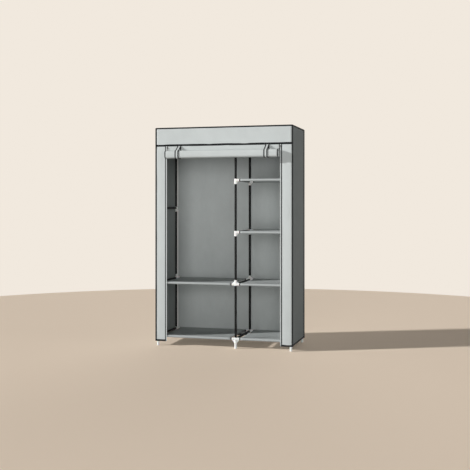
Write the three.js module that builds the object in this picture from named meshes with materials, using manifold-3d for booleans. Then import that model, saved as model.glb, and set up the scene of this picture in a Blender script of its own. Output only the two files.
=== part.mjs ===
// Portable fabric wardrobe: a plugged tube frame inside a zipped cover with a roll-up door.
// Millimetres. +X is to the right as seen from the front, +Y to the back, +Z up.

import * as THREE from 'three';
import { mergeVertices } from 'three/addons/utils/BufferGeometryUtils.js';
import Module from 'manifold-3d';

const wasm = await Module();
wasm.setup();

// Clear spaces and shelf heights
const leftBayWidth = 585;
const rightBayWidth = 395;
const clearDepth = 395;
const overallHeight = 1625;
const bottomShelfHeight = 72;
const lowerShelfBelowTop = 1155;
const midShelfAboveLower = 381;
const upperShelfAboveMid = 381;
const sideBraceHeight = 1027;

// Steel tubes
const tubeDiameter = 17;
const tubeWall = 0.6;

// Plastic connectors, one at every crossing of tubes
const socketWall = 2.2;
const armReach = 29;
const armSocketDepth = 16;
const sleeveTail = 32;
const hangingSleeveTail = 29;
const webThickness = 10;
const webEndWidth = 6;
const risingWebRise = 20;
const hangingWebReach = 22;
const hangingWebDrop = 22;
const footWebDrop = 29;
const footSocketDepth = 20;
const footTipRadius = 9;
const railClipLength = 32;

// Cloth of the cover and the shelves
const clothThickness = 1.2;
const shelfSetback = 8;
const hemHeight = 34;
const headerHeight = 137;
const frontStripWidth = 88.5;

// Roll-up door, its two ties and its two zip sliders
const doorEdgeGap = 3;
const rollRadius = 30;
const rollLip = 2;
const rollBelowHeader = 64;
const tieWidth = 30;
const tieThickness = 1.2;
const tieInset = 92;
const sliderWidth = 10;
const sliderThickness = 4;
const sliderLength = 13;
const sliderDrop = 6;
const pullWidth = 6;
const pullThickness = 1.5;
const pullLength = 24;

// Fits between pieces that touch, and how far a cut runs past a face
const gap = 0.3;
const overrun = 2;

// Facets
const roundSides = 12;
const rollSides = 36;
const tieSides = 24;

// Radii and places that follow from the sizes above
const tubeRadius = tubeDiameter / 2;
const tubeBore = tubeRadius - tubeWall;
const socketBore = tubeRadius + gap;
const socketRadius = socketBore + socketWall;
const tubeStart = armReach - armSocketDepth + gap;

const frameSpan = leftBayWidth + rightBayWidth + tubeDiameter * 2;
const columns = { left: -frameSpan / 2, right: frameSpan / 2 };
columns.centre = columns.left + leftBayWidth + tubeDiameter;
const rowOffset = (clearDepth + tubeDiameter) / 2;
const rows = { front: -rowOffset, rear: rowOffset };

const lowerShelfHeight = overallHeight - lowerShelfBelowTop;
const midShelfHeight = lowerShelfHeight + midShelfAboveLower;
const levels = {
  bottom: bottomShelfHeight,
  lower: lowerShelfHeight,
  mid: midShelfHeight,
  upper: midShelfHeight + upperShelfAboveMid,
};
const coverInsideX = columns.right + socketRadius + gap;
const coverOutsideX = coverInsideX + clothThickness;
const coverInsideY = rows.rear + socketRadius + gap;
const coverOutsideY = coverInsideY + clothThickness;
const topPanelUnderside = overallHeight - clothThickness;
const panelTop = topPanelUnderside - gap;
const topLevel = topPanelUnderside - gap - socketRadius;
const uprightTop = topLevel + tubeRadius / 2;
const uprightBottom = bottomShelfHeight - footSocketDepth + gap;
const headerBottom = overallHeight - headerHeight;
const stripEdge = coverOutsideX - frontStripWidth;
const doorEdge = stripEdge - doorEdgeGap;
const rollHeight = headerBottom - rollBelowHeader;
const rollCentreY = -coverOutsideY - gap - tieThickness - gap - rollRadius;
const tieRadius = rollRadius + gap + tieThickness;

// The two bays and the levels that carry a shelf in each
const bays = {
  left: { from: 'left', to: 'centre', shelves: ['bottom', 'lower'] },
  right: { from: 'centre', to: 'right', shelves: ['bottom', 'lower', 'mid', 'upper'] },
};

const finish = (color, roughness, metalness = 0) =>
  new THREE.MeshStandardMaterial({ color, roughness, metalness });
const steel = finish(0x33383a, 0.35, 0.6);
const whitePlastic = finish(0xf2f2f0, 0.4);
const lightCloth = finish(0xc8cbca, 0.9);
const darkCloth = finish(0x5f6362, 0.9);
const backCloth = finish(0x9a9d9c, 0.9);
const shelfCloth = finish(0xa9acab, 0.9);
const zipMetal = finish(0x222426, 0.4, 0.5);

const wardrobe = new THREE.Group();

// A three.js geometry as a solid that can be joined and cut.
function solidOf(geometry) {
  const bare = geometry.clone();
  bare.deleteAttribute('normal');
  bare.deleteAttribute('uv');
  const merged = mergeVertices(bare);
  return new wasm.Manifold(
    new wasm.Mesh({
      numProp: 3,
      vertProperties: new Float32Array(merged.attributes.position.array),
      triVerts: new Uint32Array(merged.index.array),
    }),
  );
}

// A solid as a three.js geometry again.
function geometryOf(solid) {
  const mesh = solid.getMesh();
  const geometry = new THREE.BufferGeometry();
  geometry.setAttribute('position', new THREE.BufferAttribute(mesh.vertProperties, mesh.numProp));
  geometry.setIndex(new THREE.BufferAttribute(mesh.triVerts, 1));
  geometry.computeVertexNormals();
  return geometry;
}

// Joins a list of solids and cuts a second list out of them.
function carve(joined, cut = []) {
  const body = joined.reduce((all, next) => all.add(next));
  return cut.reduce((rest, next) => rest.subtract(next), body);
}

function addPart(name, solid, material, x = 0, y = 0, z = 0) {
  const mesh = new THREE.Mesh(geometryOf(solid), material);
  mesh.name = name;
  mesh.position.set(x, y, z);
  wardrobe.add(mesh);
}

const cylinderTurns = {
  x: new THREE.Matrix4().makeRotationZ(-Math.PI / 2),
  y: new THREE.Matrix4(),
  z: new THREE.Matrix4().makeRotationX(Math.PI / 2),
};

// Turns an outline drawn in (Y, Z) and extruded along its own third axis so that it runs along X.
const crossSectionToYZ = new THREE.Matrix4().makeBasis(
  new THREE.Vector3(0, 1, 0),
  new THREE.Vector3(0, 0, 1),
  new THREE.Vector3(1, 0, 0),
);

// A round bar along one axis, from one place on that axis to another. It tapers if endRadius is given.
function rod(axis, radius, from, to, offset = [0, 0, 0], endRadius = radius) {
  const shape = new THREE.CylinderGeometry(endRadius, radius, to - from, roundSides);
  shape.applyMatrix4(cylinderTurns[axis]);
  const place = new THREE.Vector3(...offset);
  place[axis] += (from + to) / 2;
  return solidOf(shape.translate(place.x, place.y, place.z));
}

// A box between two corners.
function block(low, high) {
  const size = high.map((end, i) => end - low[i]);
  const shape = new THREE.BoxGeometry(...size);
  return solidOf(shape.translate(...high.map((end, i) => (end + low[i]) / 2)));
}

// An arm of a connector points along X or Y, one way or the other.
const armX = (sign) => ({ axis: 'x', sign });
const armY = (sign) => ({ axis: 'y', sign });

function armRod(arm, radius, from, to) {
  const ends = [arm.sign * from, arm.sign * to].sort((a, b) => a - b);
  return rod(arm.axis, radius, ...ends);
}

// The web that stiffens an arm: it goes out to the reach, and up the sleeve to the end, or down if that is
// less than zero.
function web(arm, reach, end) {
  const outline = new THREE.Shape([
    new THREE.Vector2(0, 0),
    new THREE.Vector2(reach, 0),
    new THREE.Vector2(reach, Math.sign(end) * webEndWidth),
    new THREE.Vector2(socketRadius, end),
    new THREE.Vector2(0, end),
  ]);
  const shape = new THREE.ExtrudeGeometry(outline, { depth: webThickness, bevelEnabled: false });
  const along = new THREE.Vector3();
  along[arm.axis] = arm.sign;
  const up = new THREE.Vector3(0, 0, 1);
  const across = along.clone().cross(up);
  shape.translate(0, 0, -webThickness / 2);
  return solidOf(shape.applyMatrix4(new THREE.Matrix4().makeBasis(along, up, across)));
}

// The pieces of a connector about the crossing of its tubes: its body, and the bore of its upright. Its
// sleeve and webs rise if side is 1, and hang if it is -1.
function connectorPieces(arms, side) {
  const low = side > 0 ? -socketRadius : -hangingSleeveTail;
  const high = side > 0 ? sleeveTail : socketRadius;
  const webReach = side > 0 ? armReach : hangingWebReach;
  const webEnd = side > 0 ? risingWebRise : -hangingWebDrop;
  return {
    joined: [
      rod('z', socketRadius, low, high),
      ...arms.map((arm) => armRod(arm, socketRadius, 0, armReach)),
      ...arms.map((arm) => web(arm, webReach, webEnd)),
    ],
    uprightBore: rod('z', socketBore, low - overrun, high + overrun),
  };
}

function armSockets(arms) {
  return arms.map((arm) => armRod(arm, socketBore, armReach - armSocketDepth, armReach + overrun));
}

function plainConnector(arms, side) {
  const { joined, uprightBore } = connectorPieces(arms, side);
  return carve(joined, [uprightBore, ...armSockets(arms)]);
}

// The lowest connector stands on the floor: a tapered leg below, webs under the arms.
function footConnector(arms) {
  const leg = rod('z', footTipRadius, -bottomShelfHeight, 0, [0, 0, 0], socketRadius);
  const collar = rod('z', socketRadius, 0, socketRadius);
  const limbs = arms.map((arm) => armRod(arm, socketRadius, 0, armReach));
  const webs = arms.map((arm) => web(arm, armReach, -footWebDrop));
  const socket = rod('z', socketBore, -footSocketDepth, socketRadius + overrun);
  return carve([leg, collar, ...limbs, ...webs], [socket, ...armSockets(arms)]);
}

function armsAt(columnName, rowName, levelName) {
  const arms = [armY(rowName === 'front' ? 1 : -1)];
  for (const bay of Object.values(bays)) {
    if (!bay.shelves.includes(levelName)) continue;
    if (bay.from === columnName) arms.push(armX(1));
    if (bay.to === columnName) arms.push(armX(-1));
  }
  return arms;
}

// A tube between two connectors, which reaches into the sockets at both ends.
function hollowTube(axis, from, to) {
  return carve([rod(axis, tubeRadius, from, to)], [rod(axis, tubeBore, from - overrun, to + overrun)]);
}

function buildUprights() {
  for (const [rowName, y] of Object.entries(rows)) {
    for (const [columnName, x] of Object.entries(columns)) {
      const tube = hollowTube('z', uprightBottom, uprightTop);
      addPart(`upright_${rowName}_${columnName}`, tube, steel, x, y);
    }
  }
}

// Connectors and depth tubes, level by level. Only the right bay has the two higher levels.
function buildCrossings() {
  for (const [levelName, z] of Object.entries(levels)) {
    for (const [columnName, x] of Object.entries(columns)) {
      if (armsAt(columnName, 'front', levelName).length < 2) continue;
      for (const [rowName, y] of Object.entries(rows)) {
        const arms = armsAt(columnName, rowName, levelName);
        if (levelName === 'bottom') {
          addPart(`foot_${rowName}_${columnName}`, footConnector(arms), whitePlastic, x, y, z);
          continue;
        }
        const solid = plainConnector(arms, levelName === 'lower' ? 1 : -1);
        addPart(`connector_${levelName}_${rowName}_${columnName}`, solid, whitePlastic, x, y, z);
      }
      const tube = hollowTube('y', rows.front + tubeStart, rows.rear - tubeStart);
      addPart(`depth_tube_${levelName}_${columnName}`, tube, steel, x, 0, z);
    }
  }
}

// Half-height brace on the left side: a tube moulded into a sleeve on each left upright.
function buildSideBrace() {
  const sleeves = [];
  const bores = [];
  for (const y of Object.values(rows)) {
    const { joined, uprightBore } = connectorPieces([armY(-Math.sign(y))], -1);
    sleeves.push(...joined.map((piece) => piece.translate(0, y, 0)));
    bores.push(uprightBore.translate(0, y, 0));
  }
  const tube = rod('y', tubeRadius, rows.front, rows.rear);
  const hollow = rod('y', tubeBore, rows.front, rows.rear);
  const brace = carve([...sleeves, tube], [...bores, hollow]);
  addPart('side_brace_left', brace, steel, columns.left, 0, sideBraceHeight);
}

// Top rails: two tubes end to end with the three top connectors moulded on them.
function buildTopRails() {
  const blindBore = rod('z', socketBore, -hangingSleeveTail - overrun, uprightTop - topLevel + gap);
  for (const [rowName, y] of Object.entries(rows)) {
    const joined = [rod('x', tubeRadius, columns.left, columns.right)];
    const cut = [rod('x', tubeBore, columns.left, columns.right)];
    const depthArm = armY(rowName === 'front' ? 1 : -1);
    for (const [columnName, x] of Object.entries(columns)) {
      const inward = columnName === 'centre' ? [armX(1), armX(-1)] : [armX(-Math.sign(x))];
      const pieces = connectorPieces([depthArm, ...inward], -1).joined;
      joined.push(...pieces.map((piece) => piece.translate(x, 0, 0)));
      cut.push(...[blindBore, ...armSockets([depthArm])].map((piece) => piece.translate(x, 0, 0)));
    }
    addPart(`top_rail_${rowName}`, carve(joined, cut), steel, 0, y, topLevel);
  }
  for (const [columnName, x] of Object.entries(columns)) {
    const tube = hollowTube('y', rows.front + tubeStart, rows.rear - tubeStart);
    addPart(`depth_tube_top_${columnName}`, tube, steel, x, 0, topLevel);
  }
}

// Hanging rail of the left bay, with a clip round the top depth tube at each end.
function buildHangingRail() {
  const ends = [columns.left, columns.centre];
  const clipEnd = railClipLength / 2;
  const clips = ends.map((x) => rod('y', socketRadius, -clipEnd, clipEnd, [x, 0, 0]));
  const bores = ends.map((x) => rod('y', socketBore, -clipEnd - overrun, clipEnd + overrun, [x, 0, 0]));
  const rail = rod('x', tubeRadius, ...ends);
  const hollow = rod('x', tubeBore, ...ends);
  addPart('hanging_rail', carve([rail, ...clips], [hollow, ...bores]), steel, 0, 0, topLevel);
}

// A cloth shelf: a panel between two sleeves, each with its tube inside.
function shelfSolid(from, to) {
  const clothFrom = from + armReach + shelfSetback;
  const clothTo = to - armReach - shelfSetback;
  const joined = [];
  const cut = [];
  for (const y of Object.values(rows)) {
    joined.push(rod('x', tubeRadius + clothThickness, clothFrom, clothTo, [0, y, 0]));
    joined.push(rod('x', tubeRadius, from + tubeStart, to - tubeStart, [0, y, 0]));
    cut.push(rod('x', tubeBore, from, to, [0, y, 0]));
  }
  const clothTop = tubeRadius + clothThickness;
  joined.push(block([clothFrom, rows.front, tubeRadius], [clothTo, rows.rear, clothTop]));
  return carve(joined, cut);
}

function buildShelves() {
  for (const [bayName, bay] of Object.entries(bays)) {
    for (const levelName of bay.shelves) {
      const solid = shelfSolid(columns[bay.from], columns[bay.to]);
      addPart(`shelf_${bayName}_${levelName}`, solid, shelfCloth, 0, 0, levels[levelName]);
    }
  }
}

// Side panel with the front strip that is one cloth with it. The header closes the front above the strip.
function coverSide(sign) {
  const spanX = (inner, outer) => [sign * inner, sign * outer].sort((a, b) => a - b);
  const [lowX, highX] = spanX(coverInsideX, coverOutsideX);
  const [stripLow, stripHigh] = spanX(stripEdge, coverOutsideX);
  const stripTop = headerBottom - gap;
  return carve([
    block([lowX, -coverInsideY + gap, hemHeight], [highX, coverOutsideY, panelTop]),
    block([lowX, -coverOutsideY, hemHeight], [highX, 0, stripTop]),
    block([stripLow, -coverOutsideY, hemHeight], [stripHigh, -coverInsideY, stripTop]),
  ]);
}

function buildCover() {
  addPart('cover_side_left', coverSide(-1), darkCloth);
  addPart('cover_side_right', coverSide(1), darkCloth);
  const backEdge = coverInsideX - gap;
  const back = block([-backEdge, coverInsideY, hemHeight], [backEdge, coverOutsideY, panelTop]);
  addPart('cover_back', back, backCloth);
  const top = block(
    [-coverOutsideX, -coverOutsideY, topPanelUnderside],
    [coverOutsideX, coverOutsideY, overallHeight],
  );
  addPart('cover_top', top, darkCloth);
  const header = block(
    [-coverOutsideX, -coverOutsideY, headerBottom],
    [coverOutsideX, -coverInsideY, panelTop],
  );
  addPart('cover_header', header, lightCloth);
}

// The rolled-up door cloth. Its outline steps in at the free edge of the outermost turn.
function rollSolid() {
  const outline = [];
  for (let i = 0; i <= rollSides; i += 1) {
    const turnShare = i / rollSides;
    const angle = turnShare * Math.PI * 2;
    const radius = rollRadius - rollLip * (1 - turnShare);
    outline.push(new THREE.Vector2(radius * Math.cos(angle), radius * Math.sin(angle)));
  }
  const settings = { depth: doorEdge * 2, bevelEnabled: false };
  const shape = new THREE.ExtrudeGeometry(new THREE.Shape(outline), settings);
  shape.translate(0, 0, -doorEdge);
  shape.applyMatrix4(crossSectionToYZ);
  return solidOf(shape);
}

// Outline of a strap loop round the roll that ends in a point at its seam, about the roll's centre.
function slingOutline(radius, seam) {
  const reach = seam.length();
  const halfOpening = Math.acos(radius / reach);
  const seamAngle = seam.angle();
  const from = seamAngle + halfOpening;
  const to = seamAngle - halfOpening + Math.PI * 2;
  const points = [seam];
  for (let i = 0; i <= tieSides; i += 1) {
    const angle = from + (to - from) * (i / tieSides);
    points.push(new THREE.Vector2(radius * Math.cos(angle), radius * Math.sin(angle)));
  }
  return points;
}

function tieSolid() {
  const seam = new THREE.Vector2(-coverOutsideY - gap - rollCentreY, headerBottom - gap - rollHeight);
  const innerSeam = seam.clone().setY(seam.y - tieThickness * 2).setX(seam.x - tieThickness);
  const loop = new THREE.Shape(slingOutline(tieRadius, seam));
  loop.holes.push(new THREE.Path(slingOutline(tieRadius - tieThickness, innerSeam)));
  const shape = new THREE.ExtrudeGeometry(loop, { depth: tieWidth, bevelEnabled: false });
  shape.translate(0, 0, -tieWidth / 2);
  return solidOf(shape.applyMatrix4(crossSectionToYZ));
}

// A zip slider with its pull hanging in front of it.
function sliderSolid() {
  const body = block([-sliderWidth / 2, -sliderThickness, -sliderLength], [sliderWidth / 2, 0, 0]);
  const pull = block(
    [-pullWidth / 2, -sliderThickness - pullThickness, -sliderLength / 2 - pullLength],
    [pullWidth / 2, -sliderThickness + gap, -sliderLength / 2],
  );
  return carve([body, pull]);
}

function buildDoor() {
  const drop = block([-doorEdge, -coverOutsideY, rollHeight], [doorEdge, -coverInsideY, headerBottom - gap]);
  addPart('door_drop', drop, lightCloth);
  addPart('door_roll', rollSolid(), lightCloth, 0, rollCentreY, rollHeight);
  for (const [side, sign] of [['left', -1], ['right', 1]]) {
    const tieX = sign * (doorEdge - tieInset);
    addPart(`door_tie_${side}`, tieSolid(), lightCloth, tieX, rollCentreY, rollHeight);
    const sliderX = sign * (stripEdge - doorEdgeGap / 2);
    const sliderTop = headerBottom - sliderDrop;
    addPart(`zip_slider_${side}`, sliderSolid(), zipMetal, sliderX, -coverOutsideY - gap, sliderTop);
  }
}

buildUprights();
buildCrossings();
buildSideBrace();
buildTopRails();
buildHangingRail();
buildShelves();
buildCover();
buildDoor();

// The origin is under the middle of the whole wardrobe, its door roll included.
const frontReach = rollCentreY - tieRadius;
wardrobe.position.y = -(frontReach + coverOutsideY) / 2;

export default wardrobe;
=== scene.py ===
"""Portable fabric wardrobe: sewn cover, roll-up door, cloth shelves, tubes and plastic connectors.

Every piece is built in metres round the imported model, which gives the places of the tubes and panels.
"""

import logging
import math
from dataclasses import dataclass
from enum import Enum
from typing import Any, Callable, Optional, Sequence

import bmesh
import bpy
from mathutils import Matrix, Vector, noise

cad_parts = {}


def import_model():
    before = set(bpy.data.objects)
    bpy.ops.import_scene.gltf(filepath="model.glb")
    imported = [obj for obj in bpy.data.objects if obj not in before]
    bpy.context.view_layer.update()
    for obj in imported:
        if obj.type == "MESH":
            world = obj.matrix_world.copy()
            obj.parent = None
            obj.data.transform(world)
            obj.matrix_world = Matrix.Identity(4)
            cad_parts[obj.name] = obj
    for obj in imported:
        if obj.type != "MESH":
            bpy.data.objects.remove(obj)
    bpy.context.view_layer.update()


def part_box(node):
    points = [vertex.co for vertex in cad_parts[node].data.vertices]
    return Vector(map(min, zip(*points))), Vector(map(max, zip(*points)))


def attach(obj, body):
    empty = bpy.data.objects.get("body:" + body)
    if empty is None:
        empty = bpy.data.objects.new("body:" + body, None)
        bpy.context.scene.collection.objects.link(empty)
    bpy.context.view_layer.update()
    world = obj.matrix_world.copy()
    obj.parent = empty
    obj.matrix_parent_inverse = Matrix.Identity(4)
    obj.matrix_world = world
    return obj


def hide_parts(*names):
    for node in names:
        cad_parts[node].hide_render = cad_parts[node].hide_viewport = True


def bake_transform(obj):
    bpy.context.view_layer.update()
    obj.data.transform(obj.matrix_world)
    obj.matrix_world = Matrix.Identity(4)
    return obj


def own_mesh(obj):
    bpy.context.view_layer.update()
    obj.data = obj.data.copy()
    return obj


LOG = logging.getLogger("wardrobe")

ALONG_X = Vector((1.0, 0.0, 0.0))
ALONG_Y = Vector((0.0, 1.0, 0.0))
ALONG_Z = Vector((0.0, 0.0, 1.0))
FULL_TURN = math.tau
QUARTER_TURN = math.pi / 2

CLOTH_THICKNESS = 0.0008
TUBE_WALL = 0.0006
RIM_SHARE = 0.3

# An edge that turns by more degrees than this is shaded crisp
HARD_CREASE = 35.0
PLASTIC_CREASE = 40.0
CLOTH_CREASE = 60.0

# Points nearer than this many metres are welded, in a turned solid and where a run closes
WELD = 1e-6
RUN_WELD = 1e-5

# A direction counts as upright where its unit vector rises by more than this
NEARLY_UPRIGHT = 0.9

# The pattern of the unevenness: where each axis starts, and its finer waves
NOISE_SHIFT = (1.0, 0.7, 1.3)
FINE_SCALE = 2.7
FINE_SHIFT = Vector((9.1, 3.3, 5.7))
FINE_SHARE = 0.35


class Slot(Enum):
    """The finishes that the record names."""

    TUBE = "steel_tube"
    PLASTIC = "connector_plastic"
    FRONT = "front_cloth"
    SIDE = "side_cloth"
    BACK = "back_cloth"
    SHELF = "shelf_cloth"
    ZIP = "zip_metal"


class Side(Enum):
    """Left and right as seen from the front, with the sign of X."""

    LEFT = -1
    RIGHT = 1

    @property
    def word(self) -> str:
        """The side's name in a piece's name."""
        return self.name.lower()


class Web(Enum):
    """How a connector's stiffening webs run from its arms."""

    RISING = "up the sleeve"
    HANGING = "down the sleeve"
    FOOT = "down the leg"


# Shader graphs


class Graph:
    """Adds and links the nodes of a material or of a node group."""

    def __init__(self, tree: bpy.types.NodeTree) -> None:
        """Starts from an empty tree.

        Args:
            tree: the node tree to fill.
        """
        self.tree = tree
        self.tree.nodes.clear()

    def add(self, kind: str, settings: Optional[dict[str, Any]] = None, **inputs: Any) -> bpy.types.Node:
        """Adds a node.

        Args:
            kind: the node's type, without its ShaderNode prefix.
            settings: values of the node's own properties.
            **inputs: input sockets by name, with _ for a space; a socket as the value is linked.

        Returns:
            The new node.
        """
        node = self.tree.nodes.new("ShaderNode" + kind)
        for name, value in (settings or {}).items():
            setattr(node, name, value)
        for name, value in inputs.items():
            self.feed(node.inputs[name.replace("_", " ")], value)
        return node

    def feed(self, socket: bpy.types.NodeSocket, value: Any) -> None:
        """Links another socket to an input, or gives the input a value."""
        if isinstance(value, bpy.types.NodeSocket):
            self.tree.links.new(value, socket)
        else:
            socket.default_value = value

    def link(self, source: bpy.types.NodeSocket, target: bpy.types.NodeSocket) -> None:
        """Links two sockets."""
        self.tree.links.new(source, target)

    def maths(self, operation: str, first: Any, second: Any = 0.0) -> bpy.types.NodeSocket:
        """A Math node's result for two sockets or numbers."""
        node = self.tree.nodes.new("ShaderNodeMath")
        node.operation = operation
        for socket, value in zip(node.inputs, (first, second)):
            self.feed(socket, value)
        return node.outputs[0]

    def weighted(self, *terms: tuple[bpy.types.NodeSocket, float]) -> bpy.types.NodeSocket:
        """The sum of sockets, each times its own weight."""
        total, *others = [self.maths("MULTIPLY", socket, weight) for socket, weight in terms]
        for other in others:
            total = self.maths("ADD", total, other)
        return total

    def remap(
        self, value: bpy.types.NodeSocket, source: Sequence[float], target: Sequence[float]
    ) -> bpy.types.NodeSocket:
        """Maps a value smoothly from one range to another.

        Args:
            value: the socket to map.
            source: lowest and highest value that come in.
            target: the values that they become.

        Returns:
            The result socket.
        """
        node = self.add("MapRange", {"interpolation_type": "SMOOTHSTEP"}, Value=value)
        for name, number in zip(("From Min", "From Max", "To Min", "To Max"), (*source, *target)):
            node.inputs[name].default_value = number
        return node.outputs["Result"]

    def shade(self, colour: Any, factor: bpy.types.NodeSocket) -> bpy.types.NodeSocket:
        """A colour times a factor that changes over the surface.

        Args:
            colour: a colour socket or value.
            factor: the socket to multiply it by.

        Returns:
            The resulting colour socket.
        """
        grey = self.add("CombineColor", Red=factor, Green=factor, Blue=factor)
        mix = self.tree.nodes.new("ShaderNodeMix")
        mix.data_type = "RGBA"
        mix.blend_type = "MULTIPLY"
        mix.inputs[0].default_value = 1.0
        self.feed(mix.inputs[6], colour)
        self.feed(mix.inputs[7], grey.outputs[0])
        return mix.outputs[2]


class Effects:
    """Shader groups that more than one finish uses, each built once."""

    UNIT = (0.0, 1.0)
    NOISE_MIDDLE = (0.3, 0.7)
    DOT_RIM = (0.18, 0.42)
    DOT_SHADE = (0.95, 1.012)
    CLOTH_ROUGHNESS = (0.78, 0.95)
    CLOTH_TONE = 0.985
    BROAD_SHARE = 0.6
    CLUMP_SHARE = 0.4
    DOT_HEIGHT = 0.7
    FIBRE_HEIGHT = 0.5
    CLUMP_HEIGHT = 1.6
    DUST_RIM = (0.56, 0.7)
    DUST_SHADE = 0.02
    SKIN_SHADE = (0.97, 1.02)

    def __init__(self) -> None:
        """Builds the groups."""
        self.fleece = self._fleece()
        self.moulding = self._moulding()

    @staticmethod
    def _start(name: str, inputs: dict[str, Any]) -> tuple[bpy.types.NodeTree, Graph, Any, Any]:
        """Makes an empty group with its inputs and with a colour, a roughness and a height to give.

        Args:
            name: the group's name.
            inputs: socket names with their default values.

        Returns:
            The group, its graph, its input node and its output node.
        """
        group = bpy.data.node_groups.new(name, "ShaderNodeTree")
        for socket_name, default in inputs.items():
            kind = "NodeSocketFloat"
            if socket_name == "Vector":
                kind = "NodeSocketVector"
            elif isinstance(default, tuple):
                kind = "NodeSocketColor"
            socket = group.interface.new_socket(name=socket_name, in_out="INPUT", socket_type=kind)
            if default is not None:
                socket.default_value = default
        for socket_name, kind in (("Color", "Color"), ("Roughness", "Float"), ("Height", "Float")):
            group.interface.new_socket(name=socket_name, in_out="OUTPUT", socket_type="NodeSocket" + kind)
        graph = Graph(group)
        source = group.nodes.new("NodeGroupInput")
        target = group.nodes.new("NodeGroupOutput")
        return group, graph, source.outputs, target.inputs

    def _fleece(self) -> bpy.types.NodeTree:
        """Spun cloth: pressed dots, clumped fibres and a broad unevenness in its grey.

        Returns:
            The node group.
        """
        group, graph, given, result = self._start(
            "spun cloth",
            {"Vector": None, "Color": (0.5, 0.5, 0.5, 1.0), "Unevenness": 0.08, "Dot Scale": 620.0},
        )
        broad = graph.add("TexNoise", Vector=given["Vector"], Scale=6.0, Detail=3.0, Roughness=0.55)
        clumps = graph.add("TexNoise", Vector=given["Vector"], Scale=95.0, Detail=5.0, Roughness=0.7)
        fibres = graph.add("TexNoise", Vector=given["Vector"], Scale=900.0, Detail=2.0, Distortion=1.5)
        dots = graph.add("TexVoronoi", Vector=given["Vector"], Scale=given["Dot Scale"], Randomness=0.35)
        pressed = graph.remap(dots.outputs["Distance"], self.DOT_RIM, self.UNIT)
        clump = clumps.outputs["Fac"]
        mixed = graph.weighted((broad.outputs["Fac"], self.BROAD_SHARE), (clump, self.CLUMP_SHARE))
        swing = graph.maths("MULTIPLY", graph.maths("SUBTRACT", mixed, 0.5), given["Unevenness"])
        tone = graph.maths("ADD", graph.maths("MULTIPLY", swing, 2.0), self.CLOTH_TONE)
        dotted = graph.maths("MULTIPLY", tone, graph.remap(pressed, self.UNIT, self.DOT_SHADE))
        graph.link(graph.shade(given["Color"], dotted), result["Color"])
        graph.link(graph.remap(clump, self.NOISE_MIDDLE, self.CLOTH_ROUGHNESS), result["Roughness"])
        height = graph.weighted(
            (pressed, self.DOT_HEIGHT), (fibres.outputs["Fac"], self.FIBRE_HEIGHT), (clump, self.CLUMP_HEIGHT)
        )
        graph.link(height, result["Height"])
        return group

    def _moulding(self) -> bpy.types.NodeTree:
        """A coated or moulded skin: fine orange peel, uneven gloss and a little dust.

        Returns:
            The node group.
        """
        group, graph, given, result = self._start(
            "moulded skin",
            {
                "Vector": None, "Color": (0.5, 0.5, 0.5, 1.0), "Peel Scale": 260.0, "Gloss": 0.3,
                "Spread": 0.12,
            },
        )
        peel = graph.add("TexNoise", Vector=given["Vector"], Scale=given["Peel Scale"], Detail=2.0)
        cloud = graph.add("TexNoise", Vector=given["Vector"], Scale=22.0, Detail=4.0, Roughness=0.6)
        scuffs = graph.add("TexNoise", Vector=given["Vector"], Scale=70.0, Detail=6.0, Distortion=2.0)
        dust = graph.remap(scuffs.outputs["Fac"], self.DUST_RIM, self.UNIT)
        clouded = graph.remap(cloud.outputs["Fac"], self.NOISE_MIDDLE, self.SKIN_SHADE)
        tone = graph.maths("ADD", clouded, graph.maths("MULTIPLY", dust, self.DUST_SHADE))
        graph.link(graph.shade(given["Color"], tone), result["Color"])
        shift = graph.maths("MULTIPLY", graph.maths("ADD", cloud.outputs["Fac"], dust), given["Spread"])
        graph.link(graph.maths("ADD", given["Gloss"], shift), result["Roughness"])
        graph.link(peel.outputs["Fac"], result["Height"])
        return group


@dataclass(frozen=True)
class ClothFinish:
    """Spun, non-woven cloth of one grey."""

    name: str
    colour: tuple[float, float, float]
    unevenness: float = 0.08
    dots_per_metre: float = 620.0
    relief: float = 0.00022

    def build(self, effects: Effects) -> bpy.types.Material:
        """Makes the material.

        Args:
            effects: the shared shader groups.

        Returns:
            The cloth's material.
        """
        return skin_material(
            self.name, effects.fleece, self.colour, self.relief,
            {"Unevenness": self.unevenness, "Dot Scale": self.dots_per_metre},
            {"Sheen Weight": 0.05, "Sheen Roughness": 0.6, "Specular IOR Level": 0.12},
        )


@dataclass(frozen=True)
class SkinFinish:
    """A coated or moulded skin with some gloss."""

    name: str
    colour: tuple[float, float, float]
    gloss: float
    spread: float = 0.1
    peel_scale: float = 260.0
    relief: float = 0.00004
    coat: float = 0.0
    scatter: float = 0.0
    specular: float = 0.5

    def build(self, effects: Effects) -> bpy.types.Material:
        """Makes the material.

        Args:
            effects: the shared shader groups.

        Returns:
            The skin's material.
        """
        return skin_material(
            self.name, effects.moulding, self.colour, self.relief,
            {"Peel Scale": self.peel_scale, "Gloss": self.gloss, "Spread": self.spread},
            {"Coat Weight": self.coat, "Coat Roughness": 0.12, "Subsurface Weight": self.scatter,
             "Subsurface Scale": 0.002, "Specular IOR Level": self.specular},
        )


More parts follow.
